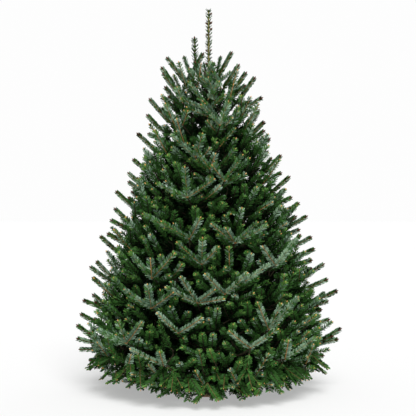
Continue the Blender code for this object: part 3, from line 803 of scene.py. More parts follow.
def grow_edges(crown, table, spread, seed):
    """Shoots that stand out against the sky, each with its side shoots and the twig behind."""
    draw = random.Random(seed)
    for across, height, lean, length in table:
        lean = math.radians(lean)
        way = Vector((math.sin(lean), draw.uniform(-0.12, 0.12), math.cos(lean))).normalized()
        tip = Vector((across, draw.uniform(-spread, spread), height))
        node = tip - way * length
        tint = spray_tint(height, True, draw)
        crown.shoot(node, way, length, tint, draw, gap=0.0, slack=2.0, bend=0.05, margin=0.004,
                    habit="edge")
        for hand in (-1.0, 1.0):
            if height > OPEN_TOP and draw.random() < 0.6:
                continue
            side = turned(way, hand * math.radians(draw.uniform(42.0, 62.0)),
                          draw.uniform(-0.15, 0.10))
            crown.shoot(node, side, length * draw.uniform(0.6, 0.8), tint, draw, gap=0.026,
                        slack=1.1, habit="edge")
        root = node.lerp(trunk_axis(min(node.z, 1.45)), 0.45) - UP * 0.05
        grow_behind(crown, root, node, way, length, tint, draw)
        crown.anchors.append(node)


def grow_fringe(crown):
    """Forks that hang down and out round the foot of the crown."""
    draw = random.Random(88)
    for forks, lowest, highest, nearer, further in FRINGE_RINGS:
        for step in range(forks):
            turn = 2.0 * math.pi * (step + draw.uniform(-0.3, 0.3)) / forks
            height = draw.uniform(lowest, highest)
            outward = outward_way(turn)
            reach = outline_reach(height) * draw.uniform(nearer, further)
            node = outward * reach + UP * height
            dip = math.radians(draw.uniform(22.0, 56.0))
            way = outward * math.cos(dip) - UP * math.sin(dip)
            way = turned(way, draw.uniform(-0.3, 0.3), 0.0)
            low = lowest_shoot(node.x * 1.2, node.y * 1.2) + 0.004
            node.z += 0.6 * (low - 0.038)
            length = min(draw.uniform(0.095, 0.135), (node.z - low) / math.sin(dip))
            # Fringe forks take greens down to the shaded one: partly painted shade near the
            # floor.
            tint = draw.choice(("leaf_green", "mid_green", "shaded_green"))
            lead = crown.fork(node, way, length, tint, draw, 0.019, 1.08, "fringe")
            if lead is None:
                continue
            root = crown.anchor_near(node)
            crown.twig([root, root.lerp(node, 0.5) + UP * 0.01, node], *FRINGE_TWIG)
            back = (node - root).normalized()
            clad = min(0.12, 0.7 * (node - root).length)
            crown.shoot(node - back * clad, back, clad, tint, draw, gap=0.0, slack=2.0,
                        vigour=0.9, age=BACK)


def grow_leader(crown):
    """The line of the topmost shoot, the ring round its foot, and the upright shoot beside it."""
    draw = random.Random(41)
    foot = trunk_axis(LEADER_FOOT) + Vector((LEADER_OFFSET - 0.003, 0.0, 0.0))
    tip = Vector((trunk_axis(TRUNK_TOP).x + STUB_LEAN + 0.004, 0.0, TREE_HEIGHT))
    crown.leader_foot, crown.leader_tip = foot, tip
    start = (LEADER_RING_HEIGHT - LEADER_FOOT) / (TREE_HEIGHT - LEADER_FOOT)
    for number, (turn, rise, length) in enumerate(LEADER_RING):
        turn = math.radians(turn)
        rise = math.radians(rise)
        way = Vector((math.sin(turn) * math.cos(rise), -math.cos(turn) * math.cos(rise),
                      math.sin(rise)))
        crown.shoot(foot.lerp(tip, start + 0.006 * number), way, length - 0.006, "blue_grey",
                    draw, gap=0.0, slack=9.0, bend=0.03, habit="edge")
    across, height, lean, length = UPRIGHT_SHOOT
    lean = math.radians(lean)
    way = Vector((math.sin(lean), 0.0, math.cos(lean)))
    crown.sparse.append(Shoot(Vector((across, -0.02, height)) - way * length, way, way, length,
                              "blue_grey", habit="edge"))


def grow_fill(crown, tries):
    """Shorter sprays in the open places inside the outline, set at every tilt."""
    draw = random.Random(977)
    for _ in range(tries):
        tier = draw.choices(range(len(TIERS)), FILL_WEIGHTS)[0]
        level = draw.uniform(0.02, 0.98)
        turn = draw.uniform(-math.pi, math.pi)
        far = tip_reach(tier, level)
        inside = 0.055 + 0.16 * draw.random()
        tip_at = far - inside * min(1.0, far / 0.35)
        if tip_at < 0.05:
            continue
        tip = crown_point(tier, tip_at, turn, level)
        if crown.room.taken(tip, 0.034):
            continue
        rise = math.radians(draw.uniform(20.0, 72.0))
        way = outward_way(turn) * math.cos(rise) + UP * math.sin(rise)
        way = turned(way, draw.uniform(-1.2, 1.2), 0.0)
        length = draw.uniform(0.080, 0.125)
        node = tip - way * length
        lead = crown.fork(node, way, length, spray_tint(tip.z, False, draw), draw, 0.026)
        if lead is None:
            continue
        root = crown.anchor_near(node - way * 0.06)
        middle = node - way * min(0.06, 0.4 * (root - node).length)
        crown.twig([root, middle, node + way * LAP], *FILL_TWIG)


def grow_inside(crown, tries):
    """Older shoots that fill the inside of the crown, in the darkest green as painted shade."""
    draw = random.Random(1511)
    for _ in range(tries):
        tier = draw.choices(range(len(TIERS)), INNER_WEIGHTS)[0]
        level = draw.uniform(0.0, 1.0)
        turn = draw.uniform(-math.pi, math.pi)
        tip_at = tip_reach(tier, level) * draw.uniform(0.28, 0.72)
        tip = crown_point(tier, tip_at, turn, level)
        if tip_at < 0.07 or tip.z > INNER_TOP or crown.room.taken(tip, 0.034):
            continue
        way = heading(tier, max(tip_at - 0.1, 0.4 * tip_at), turn, level, 0.0)
        way = turned(way, draw.uniform(-0.9, 0.9), draw.uniform(-0.4, 0.6))
        length = min(draw.uniform(0.10, 0.16), 0.8 * tip_at)
        crown.shoot(tip - way * length, way, length, "deep_green", draw, gap=0.024,
                    vigour=0.20, age=OLD)


@functools.lru_cache(maxsize=1)
def grow_crown(fill_tries, inner_tries):
    crown = Crown()
    grow_leader(crown)
    grow_edges(crown, TOP_SHOOTS, 0.05, 614)
    grow_edges(crown, EDGE_SHOOTS, 0.06, 613)
    grow_top_front(crown)
    grow_front(crown)
    for tier, facts in enumerate(TIERS):
        for number in range(facts[1]):
            grow_mass(crown, tier, number)
    grow_fringe(crown)
    grow_fill(crown, fill_tries)
    grow_inside(crown, inner_tries)
    return crown


def crown_now():
    """The crown as the present settings grow it."""
    tune = settings()
    return grow_crown(tune.fill_sprays, tune.inner_shoots)


# ---------------------------------------------------------------- meshes from arrays


def corners_to_mesh(name, corners, faces):
    """A mesh from a list of corners and a list of triangles."""
    mesh = bpy.data.meshes.new(name)
    corners = np.ascontiguousarray(corners, dtype=np.float32)
    faces = np.ascontiguousarray(faces, dtype=np.int32)
    mesh.vertices.add(len(corners))
    mesh.vertices.foreach_set("co", corners.ravel())
    mesh.loops.add(faces.size)
    mesh.loops.foreach_set("vertex_index", faces.ravel())
    mesh.polygons.add(len(faces))
    mesh.polygons.foreach_set("loop_start", np.arange(len(faces), dtype=np.int32) * 3)
    mesh.update(calc_edges=True)
    mesh.validate()
    return mesh


def round_mesh(name, corners, faces):
    mesh = corners_to_mesh(name, [tuple(corner) for corner in corners], faces)
    mesh.shade_smooth()
    return mesh


def place_piece(piece, material, nodes):
    """Gives a piece its material and its body, and hides the solids that it stands for."""
    piece.data.materials.clear()
    piece.data.materials.append(material)
    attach(piece, BODY)
    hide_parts(*nodes)


def show(name, mesh, material, nodes):
    piece = bpy.data.objects.new(name, mesh)
    bpy.context.scene.collection.objects.link(piece)
    place_piece(piece, material, nodes)


def foliage_nodes():
    return [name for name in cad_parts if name.startswith("foliage_")]


# ---------------------------------------------------------------- needles


def unit(rows):
    return rows / np.maximum(np.linalg.norm(rows, axis=1, keepdims=True), 1e-9)


def gather_bunches(share, which, reach, gather, spacing, loose, chance):
    """Draws the places along the shoots into bunches. Gives them and each needle's bunch."""
    bunches = np.maximum(3, np.round(reach / spacing)).astype(int)
    along = share * bunches[which]
    own = np.floor(along)
    bunch = (np.cumsum(bunches) - bunches)[which] + own.astype(int)
    shift = chance.uniform(-loose, loose, int(bunches.sum()))
    spread = (along - own - 0.5) * gather[which] + shift[bunch]
    return (own + 0.5 + spread) / bunches[which], bunch, int(bunches.sum())


def turns_round_stem(turn, all_round, edge, fringe, chance):
    """Angles of the needles round the stem, from its upper side, for each kind of shoot."""
    angle = np.radians((turn * FULL_TURN_STEP) % 360.0 - 180.0)
    angle *= np.where(all_round, 1.0, PARTED_SHARE)
    below = np.sign(angle) * (math.pi - STEM_IN_SIGHT * (math.pi - np.abs(angle)))
    parted = np.where(np.abs(angle) < math.pi / 2.0, STEM_IN_SIGHT * angle, below)
    angle = np.where(edge, parted, angle)
    ranked = np.where(angle < 0.0, -1.0, 1.0) * (RANK + RANK_WIDTH * angle / math.pi)
    angle = np.where(fringe, ranked, angle)
    return angle + chance.normal(0.0, 0.10, len(turn))


def needle_sizes(length, share, sideways, height, age, habit, chance):
    size = length * (0.80 + 0.20 * sideways) * chance.uniform(0.84, 1.08, len(share))
    size *= 1.0 - habit.taper * np.clip((share - 0.88) / 0.12, 0.0, 1.0)
    size *= np.where(age > BACK, 1.35, np.where(age > NEW, 0.92, 1.0))
    size *= 1.0 + habit.near_top * np.clip((height - 1.35) / 0.25, 0.0, 1.0)
    return size * habit.size


def deal_tints(colour, base, bunch, bunches, edge, habit, chance):
    """Darker and paler tints dealt out mostly by bunch, partly random tone and partly painted
    light and shade on the needles; and painted shade, as dark tints, deeper inside.
    """
    tune = settings()
    depth = depths_inside(base) + chance.uniform(-0.025, 0.025, len(bunch))
    dealt = chance.random(len(bunch))
    bunched = chance.random(bunches)[bunch]
    dealt = np.where(chance.random(len(bunch)) < SAME_BUNCH, bunched, dealt)
    dealt = habit.deal_from + dealt * habit.deal_range
    # The darkest dealt steps put painted shade between bunches, and the paler step is partly a
    # painted highlight.
    outer = colour < SHADED
    # Edge shoots step straight to the shaded tint: painted shade on the shoots that stand against
    # the sky at the sides and the top.
    darker = np.where(edge, SHADED, np.minimum(colour + 1, SHADED))
    colour = np.where(outer & (dealt < DARKER_BELOW), darker, colour)
    colour[outer & (dealt < SHADED_BELOW)] = SHADED
    colour[outer & (dealt < DEEP_SHADE_BELOW)] = DEEP_SHADE
    colour = np.where(outer & (dealt > LIGHTER_FROM), np.maximum(colour - 1, 0), colour)
    # Painted shade inside the crown: past the half shade depth outer needles take the shaded
    # tint, and past the shade depth all take the darkest one.
    colour[outer & (depth > tune.half_shade_depth)] = SHADED
    colour[depth > tune.shade_depth] = DEEP_SHADE
    return colour


def needles_on(shoots, number, length, side_set, seed, breadth=1.0, sparse=False,
               spacing=BUNCH_SPACING, loose=0.10):
    """Four corners for each needle of some shoots, and the tint that each needle takes.

    Needles stand in loose bunches in a spiral round the stem, and lean towards its tip. Edge
    shoots leave the stem in sight, fringe shoots have two ranks, and sparse ones keep one tint.
    """
    tune = settings()
    chance = np.random.default_rng(seed)
    foot, start, end = (np.array([tuple(getattr(shoot, name)) for shoot in shoots])
                        for name in ("foot", "start", "end"))
    reach, vigour, age, fresh, kind = (np.array([getattr(shoot, name) for shoot in shoots])
                                       for name in ("length", "vigour", "age", "fresh", "habit"))
    tint = np.array([TINTS.index(shoot.tint) for shoot in shoots])
    habit = Habit(*np.array([HABITS[name] for name in kind]).T)

    buried = depths_inside(foot + (start + end) * (reach / 4.0)[:, None])
    thinned = np.where((buried > tune.shade_depth) & (age < OLD), THINNED, 1.0)
    counts = habit.crowd * reach * number * vigour * thinned
    counts = np.maximum(FEWEST_NEEDLES, counts.astype(int))
    which = np.repeat(np.arange(len(shoots)), counts)
    turn = np.arange(len(which)) - np.repeat(np.cumsum(counts) - counts, counts)
    share = (turn + 0.5 + chance.uniform(-0.4, 0.4, len(which))) / counts[which]
    share = np.clip(0.02 + 0.98 * share, 0.0, 0.9999)
    share, bunch, bunches = gather_bunches(share, which, reach, habit.gather, spacing, loose,
                                           chance)
    own = Habit(*(column[which] for column in habit))
    edge = kind[which] == "edge"

    along = share[:, None]
    tangent = unit(start[which] * (1.0 - along) + end[which] * along)
    place = foot[which] + (start[which] * (along - along ** 2 / 2.0)
                           + end[which] * along ** 2 / 2.0) * reach[which, None]
    side = np.cross(tangent, np.array([0.0, 0.0, 1.0]))
    steep = np.linalg.norm(side, axis=1) < STEEP
    side[steep] = np.cross(tangent[steep], np.array([0.0, 1.0, 0.0]))
    side = unit(side)
    over = np.cross(side, tangent)
    angle = turns_round_stem(turn, steep | sparse, edge, kind[which] == "fringe", chance)
    out = side * np.sin(angle)[:, None] + over * np.cos(angle)[:, None]

    sideways = np.abs(np.sin(angle))
    lean = side_set * (0.78 + 0.22 * sideways) + chance.normal(0.0, 0.06, len(which))
    if not sparse:
        lean = lean * (1.0 - own.closing * np.clip((share - 0.80) / 0.20, 0.0, 1.0) ** 2)
    direction = tangent * np.cos(lean)[:, None] + out * np.sin(lean)[:, None]
    size = needle_sizes(length, share, sideways, place[:, 2], age[which], own, chance)

    across = unit(np.cross(direction, out))
    lid = np.cross(across, direction)
    twist = chance.uniform(-math.pi / 2.0, math.pi / 2.0, len(which))
    broad = across * np.cos(twist)[:, None] + lid * np.sin(twist)[:, None]
    keel = lid * np.cos(twist)[:, None] - across * np.sin(twist)[:, None]

    half = breadth * tune.needle_width / 2.0 * chance.uniform(0.85, 1.15, len(which))
    wider = np.where(age > BACK, OLD_BREADTH, 1.3 / np.sqrt(thinned) - 0.3)
    half = (half * (habit.breadth * wider)[which])[:, None]
    base = place + out * (tune.stem_radius * 0.6)
    tip = base + direction * size[:, None] + tangent * (size * 0.06)[:, None]
    at_base, at_tip = (1.0, 0.25) if sparse else (0.55, 0.80)
    corners = np.empty((len(which), 4, 3))
    corners[:, 0] = base - broad * half * at_base
    corners[:, 1] = base + broad * half * at_base
    corners[:, 2] = tip + broad * half * at_tip - keel * half * 0.5
    corners[:, 3] = tip - broad * half * at_tip + keel * half * 0.5

    colour = tint[which].copy()
    if not sparse:
        colour = deal_tints(colour, base, 2 * bunch + (angle > 0.0), 2 * bunches, edge, own,
                            chance)
    budding = (share > 0.88) & fresh[which] & (age[which] == NEW) & (colour < DEEP_SHADE)
    colour[budding & (chance.random(len(which)) < FRESH_NEEDLES)] = FRESH
    return corners, colour


def show_needles(corners, colour, materials, nodes):
    """Needles of one tint become as few pieces as the limit on triangles allows."""
    for index, tint in enumerate(TINTS):
        chosen = corners[colour == index]
        if not len(chosen):
            continue
        parts = math.ceil(2 * len(chosen) / TREE_TRIANGLES)
        for number, part in enumerate(np.array_split(chosen, parts)):
            first = np.arange(len(part), dtype=np.int32)[:, None] * 4
            faces = np.concatenate([first + np.array([[0, 1, 2]]), first + np.array([[0, 2, 3]])])
            name = "needles_%s_%d" % (tint, number + 1)
            mesh = corners_to_mesh(name, part.reshape(-1, 3), faces)
            show(name, mesh, materials[tint], nodes)


# ---------------------------------------------------------------- stems, buds and bark


def tube(points, radii, sides, corners, faces):
    """Adds a tapering round stem along some points to a list of corners and triangles."""
    first = len(corners)
    count = len(points)
    for step, point in enumerate(points):
        before = points[max(0, step - 1)]
        after = points[min(count - 1, step + 1)]
        frame_turn = (after - before).to_track_quat("Z", "Y")
        for side in range(sides):
            swing = 2.0 * math.pi * side / sides
            rim = Vector((math.cos(swing), math.sin(swing), 0.0)) * radii[step]
            corners.append(point + frame_turn @ rim)
    for step in range(count - 1):
        for side in range(sides):
            a = first + step * sides + side
            b = first + step * sides + (side + 1) % sides
            faces.append((a, b, b + sides))
            faces.append((a, b + sides, a + sides))
    for ring, turn in ((first, -1), (first + (count - 1) * sides, 1)):
        for side in range(1, sides - 1):
            pair = (ring + side, ring + side + 1)
            faces.append((ring, *pair[::turn]))


def tapered(start, end, count):
    return [start + (end - start) * (step / (count - 1)) for step in range(count)]


def eased(points, steps):
    """Points along a smooth bend through the first, middle and last of three points."""
    if len(points) != 3:
        return points
    a, b, c = points
    handle = b * 2.0 - (a + c) / 2.0
    line = []
    for step in range(steps + 1):
        t = step / steps
        line.append(a * (1 - t) ** 2 + handle * (2 * t * (1 - t)) + c * t * t)
        line[-1].z = max(line[-1].z, LOWEST_TWIG)
    return line


def show_tubes(name, limbs, sides, material, nodes):
    corners = []
    faces = []
    for points, start_radius, end_radius in limbs:
        radii = tapered(start_radius, end_radius, len(points))
        tube(points, radii, sides, corners, faces)
    show(name, round_mesh(name, corners, faces), material, nodes)


def bud(tip, way, radius, length, corners, faces):
    """Adds one pointed bud."""
    tube([tip, tip + way * (0.40 * length), tip + way * length],
         [0.55 * radius, radius, 0.12 * radius], 5, corners, faces)


def bark_swell(spot, relief, blisters):
    """How far bark stands out at a place: rough all over, with furrows and blisters."""
    rough = noise.fractal(Vector((spot.x * 90.0, spot.y * 90.0, spot.z * 38.0)), 0.7, 2.1, 5)
    ridge = abs(noise.noise(Vector((spot.x * 55.0, spot.y * 55.0, spot.z * 16.0))))
    dot = noise.noise(Vector((spot.x * 150.0, spot.y * 150.0, spot.z * 210.0)) + UP * 7.0)
    swell = relief * (0.55 * rough - 1.3 * max(0.0, 0.25 - ridge))
    return swell + blisters * max(0.0, dot - 0.32) - relief * 0.35


def close_limb(limb):
    """Joins a rolled-up grid at its seam and fills its two ends."""
    bpy.ops.object.select_all(action="DESELECT")
    limb.select_set(True)
    bpy.context.view_layer.objects.active = limb
    bpy.ops.object.mode_set(mode="EDIT")
    bpy.ops.mesh.select_all(action="SELECT")
    bpy.ops.mesh.remove_doubles(threshold=0.00002)
    bpy.ops.mesh.select_all(action="DESELECT")
    bpy.ops.mesh.select_mode(type="EDGE")
    bpy.ops.mesh.select_non_manifold(extend=False)
    bpy.ops.mesh.fill_holes(sides=0)
    bpy.ops.mesh.select_all(action="SELECT")
    bpy.ops.mesh.normals_make_consistent(inside=False)
    bpy.ops.object.mode_set(mode="OBJECT")
    bpy.ops.object.shade_smooth()


def bark_limb(name, points, radii, sides, relief, blisters):
    """A limb with bark relief: a grid rolled up along a line of points and closed."""
    lengths = [0.0]
    for before, after in zip(points, points[1:]):
        lengths.append(lengths[-1] + (after - before).length)
    rings = max(6, int(lengths[-1] / BARK_RING_GAP))
    bpy.ops.object.select_all(action="DESELECT")
    bpy.ops.mesh.primitive_grid_add(x_subdivisions=sides, y_subdivisions=rings, size=1.0)
    limb = bpy.context.object
    limb.name = name
    limb.data.name = name
    for vert in limb.data.vertices:
        swing = 2.0 * math.pi * (vert.co.x + 0.5)
        at = (vert.co.y + 0.5) * lengths[-1]
        step = 0
        while step < len(lengths) - 2 and at > lengths[step + 1]:
            step += 1
        share = (at - lengths[step]) / max(lengths[step + 1] - lengths[step], 1e-9)
        share = min(1.0, max(0.0, share))
        middle = points[step].lerp(points[step + 1], share)
        radius = radii[step] + (radii[step + 1] - radii[step]) * share
        before = points[max(0, step - 1)]
        after = points[min(len(points) - 1, step + 2)]
        quat = (after - before).to_track_quat("Z", "Y")
        rim = quat @ Vector((math.cos(swing), math.sin(swing), 0.0))
        vert.co = middle + rim * (radius + bark_swell(middle + rim * radius, relief, blisters))
    close_limb(limb)
    return limb


def join_pieces(name, items):
    bpy.ops.object.select_all(action="DESELECT")
    for item in items:
        item.select_set(True)
    bpy.context.view_layer.objects.active = items[0]
    if len(items) > 1:
        bpy.ops.object.join()
    items[0].name = name
    items[0].data.name = name
    return items[0]


# ---------------------------------------------------------------- materials


def link(tree, source, target):
    tree.links.new(source, target)


def mottle_group():
    """Colour varied by a noise, and the noise itself as a height."""
    name = "Mottle"
    if name in bpy.data.node_groups:
        return bpy.data.node_groups[name]
    group = bpy.data.node_groups.new(name, "ShaderNodeTree")
    for label, kind, value in (("Color", "NodeSocketColor", (0.5, 0.5, 0.5, 1.0)),
                               ("Vector", "NodeSocketVector", None),
                               ("Scale", "NodeSocketFloat", 8.0),
                               ("Amount", "NodeSocketFloat", 0.3)):
        socket = group.interface.new_socket(label, in_out="INPUT", socket_type=kind)
        if value is not None:
            socket.default_value = value
    for label, kind in (("Color", "NodeSocketColor"), ("Height", "NodeSocketFloat")):
        group.interface.new_socket(label, in_out="OUTPUT", socket_type=kind)
    entry = group.nodes.new("NodeGroupInput")
    leave = group.nodes.new("NodeGroupOutput")
    coarse = group.nodes.new("ShaderNodeTexNoise")
    coarse.inputs["Detail"].default_value = 4.0
    coarse.inputs["Roughness"].default_value = 0.6
    centred = group.nodes.new("ShaderNodeMath")
    centred.operation = "MULTIPLY_ADD"
    centred.inputs[1].default_value = 2.0
    centred.inputs[2].default_value = -1.0
    scaled = group.nodes.new("ShaderNodeMath")
    scaled.operation = "MULTIPLY"
    level = group.nodes.new("ShaderNodeMath")
    level.operation = "ADD"
    level.inputs[1].default_value = 1.0
    tinted = group.nodes.new("ShaderNodeVectorMath")
    tinted.operation = "SCALE"
    for source, target in (
            (entry.outputs["Vector"], coarse.inputs["Vector"]),
            (entry.outputs["Scale"], coarse.inputs["Scale"]),
            (coarse.outputs["Fac"], centred.inputs[0]),
            (centred.outputs[0], scaled.inputs[0]),
            (entry.outputs["Amount"], scaled.inputs[1]),
            (scaled.outputs[0], level.inputs[0]),
            (entry.outputs["Color"], tinted.inputs[0]),
            (level.outputs[0], tinted.inputs["Scale"]),
            (tinted.outputs[0], leave.inputs["Color"]),
            (coarse.outputs["Fac"], leave.inputs["Height"])):
        link(group, source, target)
    return group


def new_material(name, roughness, specular):
    material = bpy.data.materials.new(name)
    material.use_nodes = True
    shader = material.node_tree.nodes["Principled BSDF"]
    shader.inputs["Roughness"].default_value = roughness
    shader.inputs["Specular IOR Level"].default_value = specular
    return material, material.node_tree, shader


def mottled(tree, colour, scale, amount, stretch=(1.0, 1.0, 1.0)):
    """Places the mottle group in a material. Gives its node."""
    place = tree.nodes.new("ShaderNodeTexCoord")
    mapping = tree.nodes.new("ShaderNodeMapping")
    mapping.inputs["Scale"].default_value = stretch
    link(tree, place.outputs["Object"], mapping.inputs["Vector"])
    mottle = tree.nodes.new("ShaderNodeGroup")
    mottle.node_tree = mottle_group()
    mottle.inputs["Color"].default_value = (*colour, 1.0)
    mottle.inputs["Scale"].default_value = scale
    mottle.inputs["Amount"].default_value = amount
    link(tree, mapping.outputs["Vector"], mottle.inputs["Vector"])
    return mottle


def needle_material(name, colour):
    """Needles: dark above, with a pale bloom underneath."""
    material, tree, shader = new_material(name, 0.60, 0.08)
    above = mottled(tree, colour, 28.0, 0.55)
    under = [part * (1.0 + bloom * NEEDLE_BLOOM) for part, bloom in zip(colour, (0.9, 0.7, 1.6))]
    mix = tree.nodes.new("ShaderNodeMix")
    mix.data_type = "RGBA"
    facing = tree.nodes.new("ShaderNodeNewGeometry")
    link(tree, facing.outputs["Backfacing"], mix.inputs["Factor"])
    link(tree, above.outputs["Color"], mix.inputs[6])
    mix.inputs[7].default_value = (*under, 1.0)
    link(tree, mix.outputs[2], shader.inputs["Base Color"])
    return material


def grained_material(name, colour, roughness, specular, scale, amount, stretch, bump_strength,
                     bump_height):
    """A mottled skin whose noise also gives it relief."""
    material, tree, shader = new_material(name, roughness, specular)
    skin = mottled(tree, colour, scale, amount, stretch)
    link(tree, skin.outputs["Color"], shader.inputs["Base Color"])
    bump = tree.nodes.new("ShaderNodeBump")
    bump.inputs["Strength"].default_value = bump_strength
    bump.inputs["Distance"].default_value = bump_height
    link(tree, skin.outputs["Height"], bump.inputs["Height"])
    link(tree, bump.outputs["Normal"], shader.inputs["Normal"])
    return material


def bark_material(name, colour, scale, amount, relief, roughness, stretch=1.0):
    """Bark, with its pattern drawn out along Z where stretch is under 1."""
    return grained_material(name, colour, roughness, 0.25, scale, amount, (1.0, 1.0, stretch),
                            0.6, relief)


def plank_material(name, colour, stretch):
    """Sawn softwood: bands of grain that run the length of a board."""
    return grained_material(name, colour, 0.62, 0.3, 2.2, 0.55, stretch, 0.35, 0.0012)


# ---------------------------------------------------------------- pieces


class TREE_OT_bark_trunk(bpy.types.Operator):
    """Give the trunk its bark, rough, with furrows and blisters"""

    bl_idname = "christmas_tree.bark_trunk"
    bl_label = "Bark the Trunk"

    def execute(self, context):
        foot = BOARD_THICKNESS + GAP
        heights = [foot + (TRUNK_TOP - foot) * step / 60 for step in range(61)]
        trunk = bark_limb("trunk_bark", [trunk_axis(height) for height in heights],
                          [trunk_radius(height) for height in heights], 48, 0.0016, 0.004)
        bark = bark_material("tree_bark", settings().bark, 34.0, 0.75, 0.0016, 0.88, 0.45)
        place_piece(trunk, bark, ["trunk"])
        return {"FINISHED"}


class TREE_OT_bark_boughs(bpy.types.Operator):
    """Give the bare part of each bough its bark"""

    bl_idname = "christmas_tree.bark_boughs"
    bl_label = "Bark the Boughs"

    def execute(self, context):
        limbs = []
        nodes = []
        radii = tapered(BOUGH_ROOT_RADIUS, BOUGH_TIP_RADIUS, 4)
        for tier, (name, count, _, has_bough, _) in enumerate(TIERS):
            for number in range(count if has_bough else 0):
                turn, level, far, _ = mass_place(tier, number)
                points = stem_points(tier, turn, level, 0.0, far * BOUGH_SHARE, 4)
                nodes.append("bough_%s_%d" % (name, number + 1))
                limbs.append(bark_limb(nodes[-1] + "_bark", points, radii, 18, 0.0009, 0.002))
        bark = bark_material("bough_bark", settings().bark, 46.0, 0.7, 0.001, 0.85)
        place_piece(join_pieces("boughs_bark", limbs), bark, nodes)
        return {"FINISHED"}


class TREE_OT_grow_needles(bpy.types.Operator):
    """Set needles on every shoot, in sprays of a few tints"""

    bl_idname = "christmas_tree.grow_needles"
    bl_label = "Grow the Needles"

    def execute(self, context):
        tune = settings()
        crown = crown_now()
        corners, colour = needles_on(crown.shoots, tune.needles_per_metre, tune.needle_length,
                                     tune.side_set, 5)
        foot, tip = crown.leader_foot, crown.leader_tip
        way = (tip - foot).normalized()
        thin = []
        # The leader and the upright shoot take the two shade tints: painted shade among their
        # sparse needles.
        for tint, vigour in (("shaded_green", 1.0), ("deep_green", 0.8)):
            thin.append(Shoot(foot.lerp(tip, 0.20), way, way, (tip - foot).length * 0.79, tint,
                              vigour))
            for shoot in crown.sparse:
                thin.append(Shoot(shoot.foot, shoot.start, shoot.end, shoot.length, tint,
                                  1.1 * vigour))
        thin_corners, thin_colour = needles_on(
            thin, 440, tune.needle_length * 1.25, math.radians(46.0), 6, breadth=1.3,
            sparse=True, spacing=0.018, loose=0.22)
        materials = {}
        for tint in TINTS:
            materials[tint] = needle_material("needles_" + tint, getattr(tune, tint))
        show_needles(np.concatenate([corners, thin_corners]),
                     np.concatenate([colour, thin_colour]), materials, foliage_nodes())
        return {"FINISHED"}


class TREE_OT_grow_twigs(bpy.types.Operator):
    """Grow the older twigs and the young stems that carry the needles"""

    bl_idname = "christmas_tree.grow_twigs"
    bl_label = "Grow the Twigs"

    def execute(self, context):
        tune = settings()
        crown = crown_now()
        nodes = foliage_nodes()
        stems = {"twigs_shaded": [], "stems_green": [], "stems_young": []}
        for shoot in crown.shoots + crown.sparse:
            tint = TINTS.index(shoot.tint)
            edge = shoot.habit == "edge"
            thick = tune.stem_radius * (1.0 if shoot.age == NEW else 1.2)
            thick *= 0.75 if tint >= MID_GREEN else 1.0
            thick *= 1.3 if edge else 1.0
            # Stems in shaded places take the dark old-twig bark: painted shade.
            if tint >= SHADED or shaded_place(shoot.at(0.5)):
                kind = "twigs_shaded"
            else:
                # Shoots behind the leading ones get the duller green stem, partly painted shade;
                # edge shoots get it too.
                kind = "stems_green" if tint >= MID_GREEN or edge else "stems_young"
            stems[kind].append(([shoot.at(0.0), shoot.at(0.5), shoot.at(1.0)], thick,
                                0.62 * thick))
        old = bark_material("old_twig", tune.old_twig, 60.0, 0.6, 0.0006, 0.85)
        green = bark_material("green_stem", tune.green_stem, 90.0, 0.4, 0.0003, 0.7)
        young = bark_material("young_stem", tune.young_stem, 90.0, 0.35, 0.0003, 0.6)
        olive = bark_material("leader_bark", tune.leader_stem, 120.0, 0.5, 0.0004, 0.6, 0.5)
        wood = [(eased(points, 4), start, end) for points, start, end in crown.wood]
        show_tubes("twigs_old", wood, 6, old, nodes)
        for name, material in (("twigs_shaded", old), ("stems_green", green),
                               ("stems_young", young)):
            show_tubes(name, stems[name], 4, material, nodes)
        line = [crown.leader_foot.lerp(crown.leader_tip, share)
                for share in (0.0, 0.25, 0.5, 0.75, 0.97)]
        show_tubes("leader_stem", [(line, *LEADER_STEM)], 8, olive, ["foliage_leader"])
        return {"FINISHED"}


class TREE_OT_set_buds(bpy.types.Operator):
    """Set a golden bud, or at the edges three dark brown ones whose colour is painted shade, on
    the tip of each outer shoot
    """

    bl_idname = "christmas_tree.set_buds"
    bl_label = "Set the Buds"

    def execute(self, context):
        crown = crown_now()
        golden = ([], [])
        shaded_buds = ([], [])
        for shoot in crown.shoots + crown.sparse:
            end = shoot.at(1.0)
            if shoot.age > NEW or shoot.length < LEAST_BUDDED or shaded_place(end):
                continue
            if shoot.habit != "edge":
                size = 0.85 if TINTS.index(shoot.tint) < MID_GREEN else 0.55
                radius, length = GOLDEN_BUD
                bud(end + shoot.end * LAP, shoot.end, radius * size, length * size, *golden)
                continue
            # Edge shoots, and below the leader, get dark brown buds: painted shade.
            bud(end, shoot.end, *SHADED_BUD, *shaded_buds)
            for hand in (-1.0, 1.0):
                side = turned(shoot.end, hand * 0.9, hand * 0.5)
                bud(end - shoot.end * 0.006, side, *SIDE_BUD, *shaded_buds)
        foot, tip = crown.leader_foot, crown.leader_tip
        way = (tip - foot).normalized()
        bud(tip - way * 0.016, way, *TOP_BUD, *shaded_buds)
        for height, turn, size in LEADER_BUDS:
            share = (height - foot.z) / (tip.z - foot.z)
            side = Vector((math.sin(math.radians(turn)), -0.3, 0.0))
            bud(foot.lerp(tip, share) + side * 0.007, (side + UP * 0.8).normalized(),
                0.42 * size, size, *shaded_buds)
        for name, colour, (corners, faces) in (("buds_golden", settings().bud, golden),
                                               ("buds_brown", settings().shaded_bud, shaded_buds)):
            material, tree, shader = new_material(name, 0.38, 0.45)
            scales = mottled(tree, colour, 160.0, 0.4)
            link(tree, scales.outputs["Color"], shader.inputs["Base Color"])
            show(name, round_mesh(name, corners, faces), material, foliage_nodes())
        return {"FINISHED"}


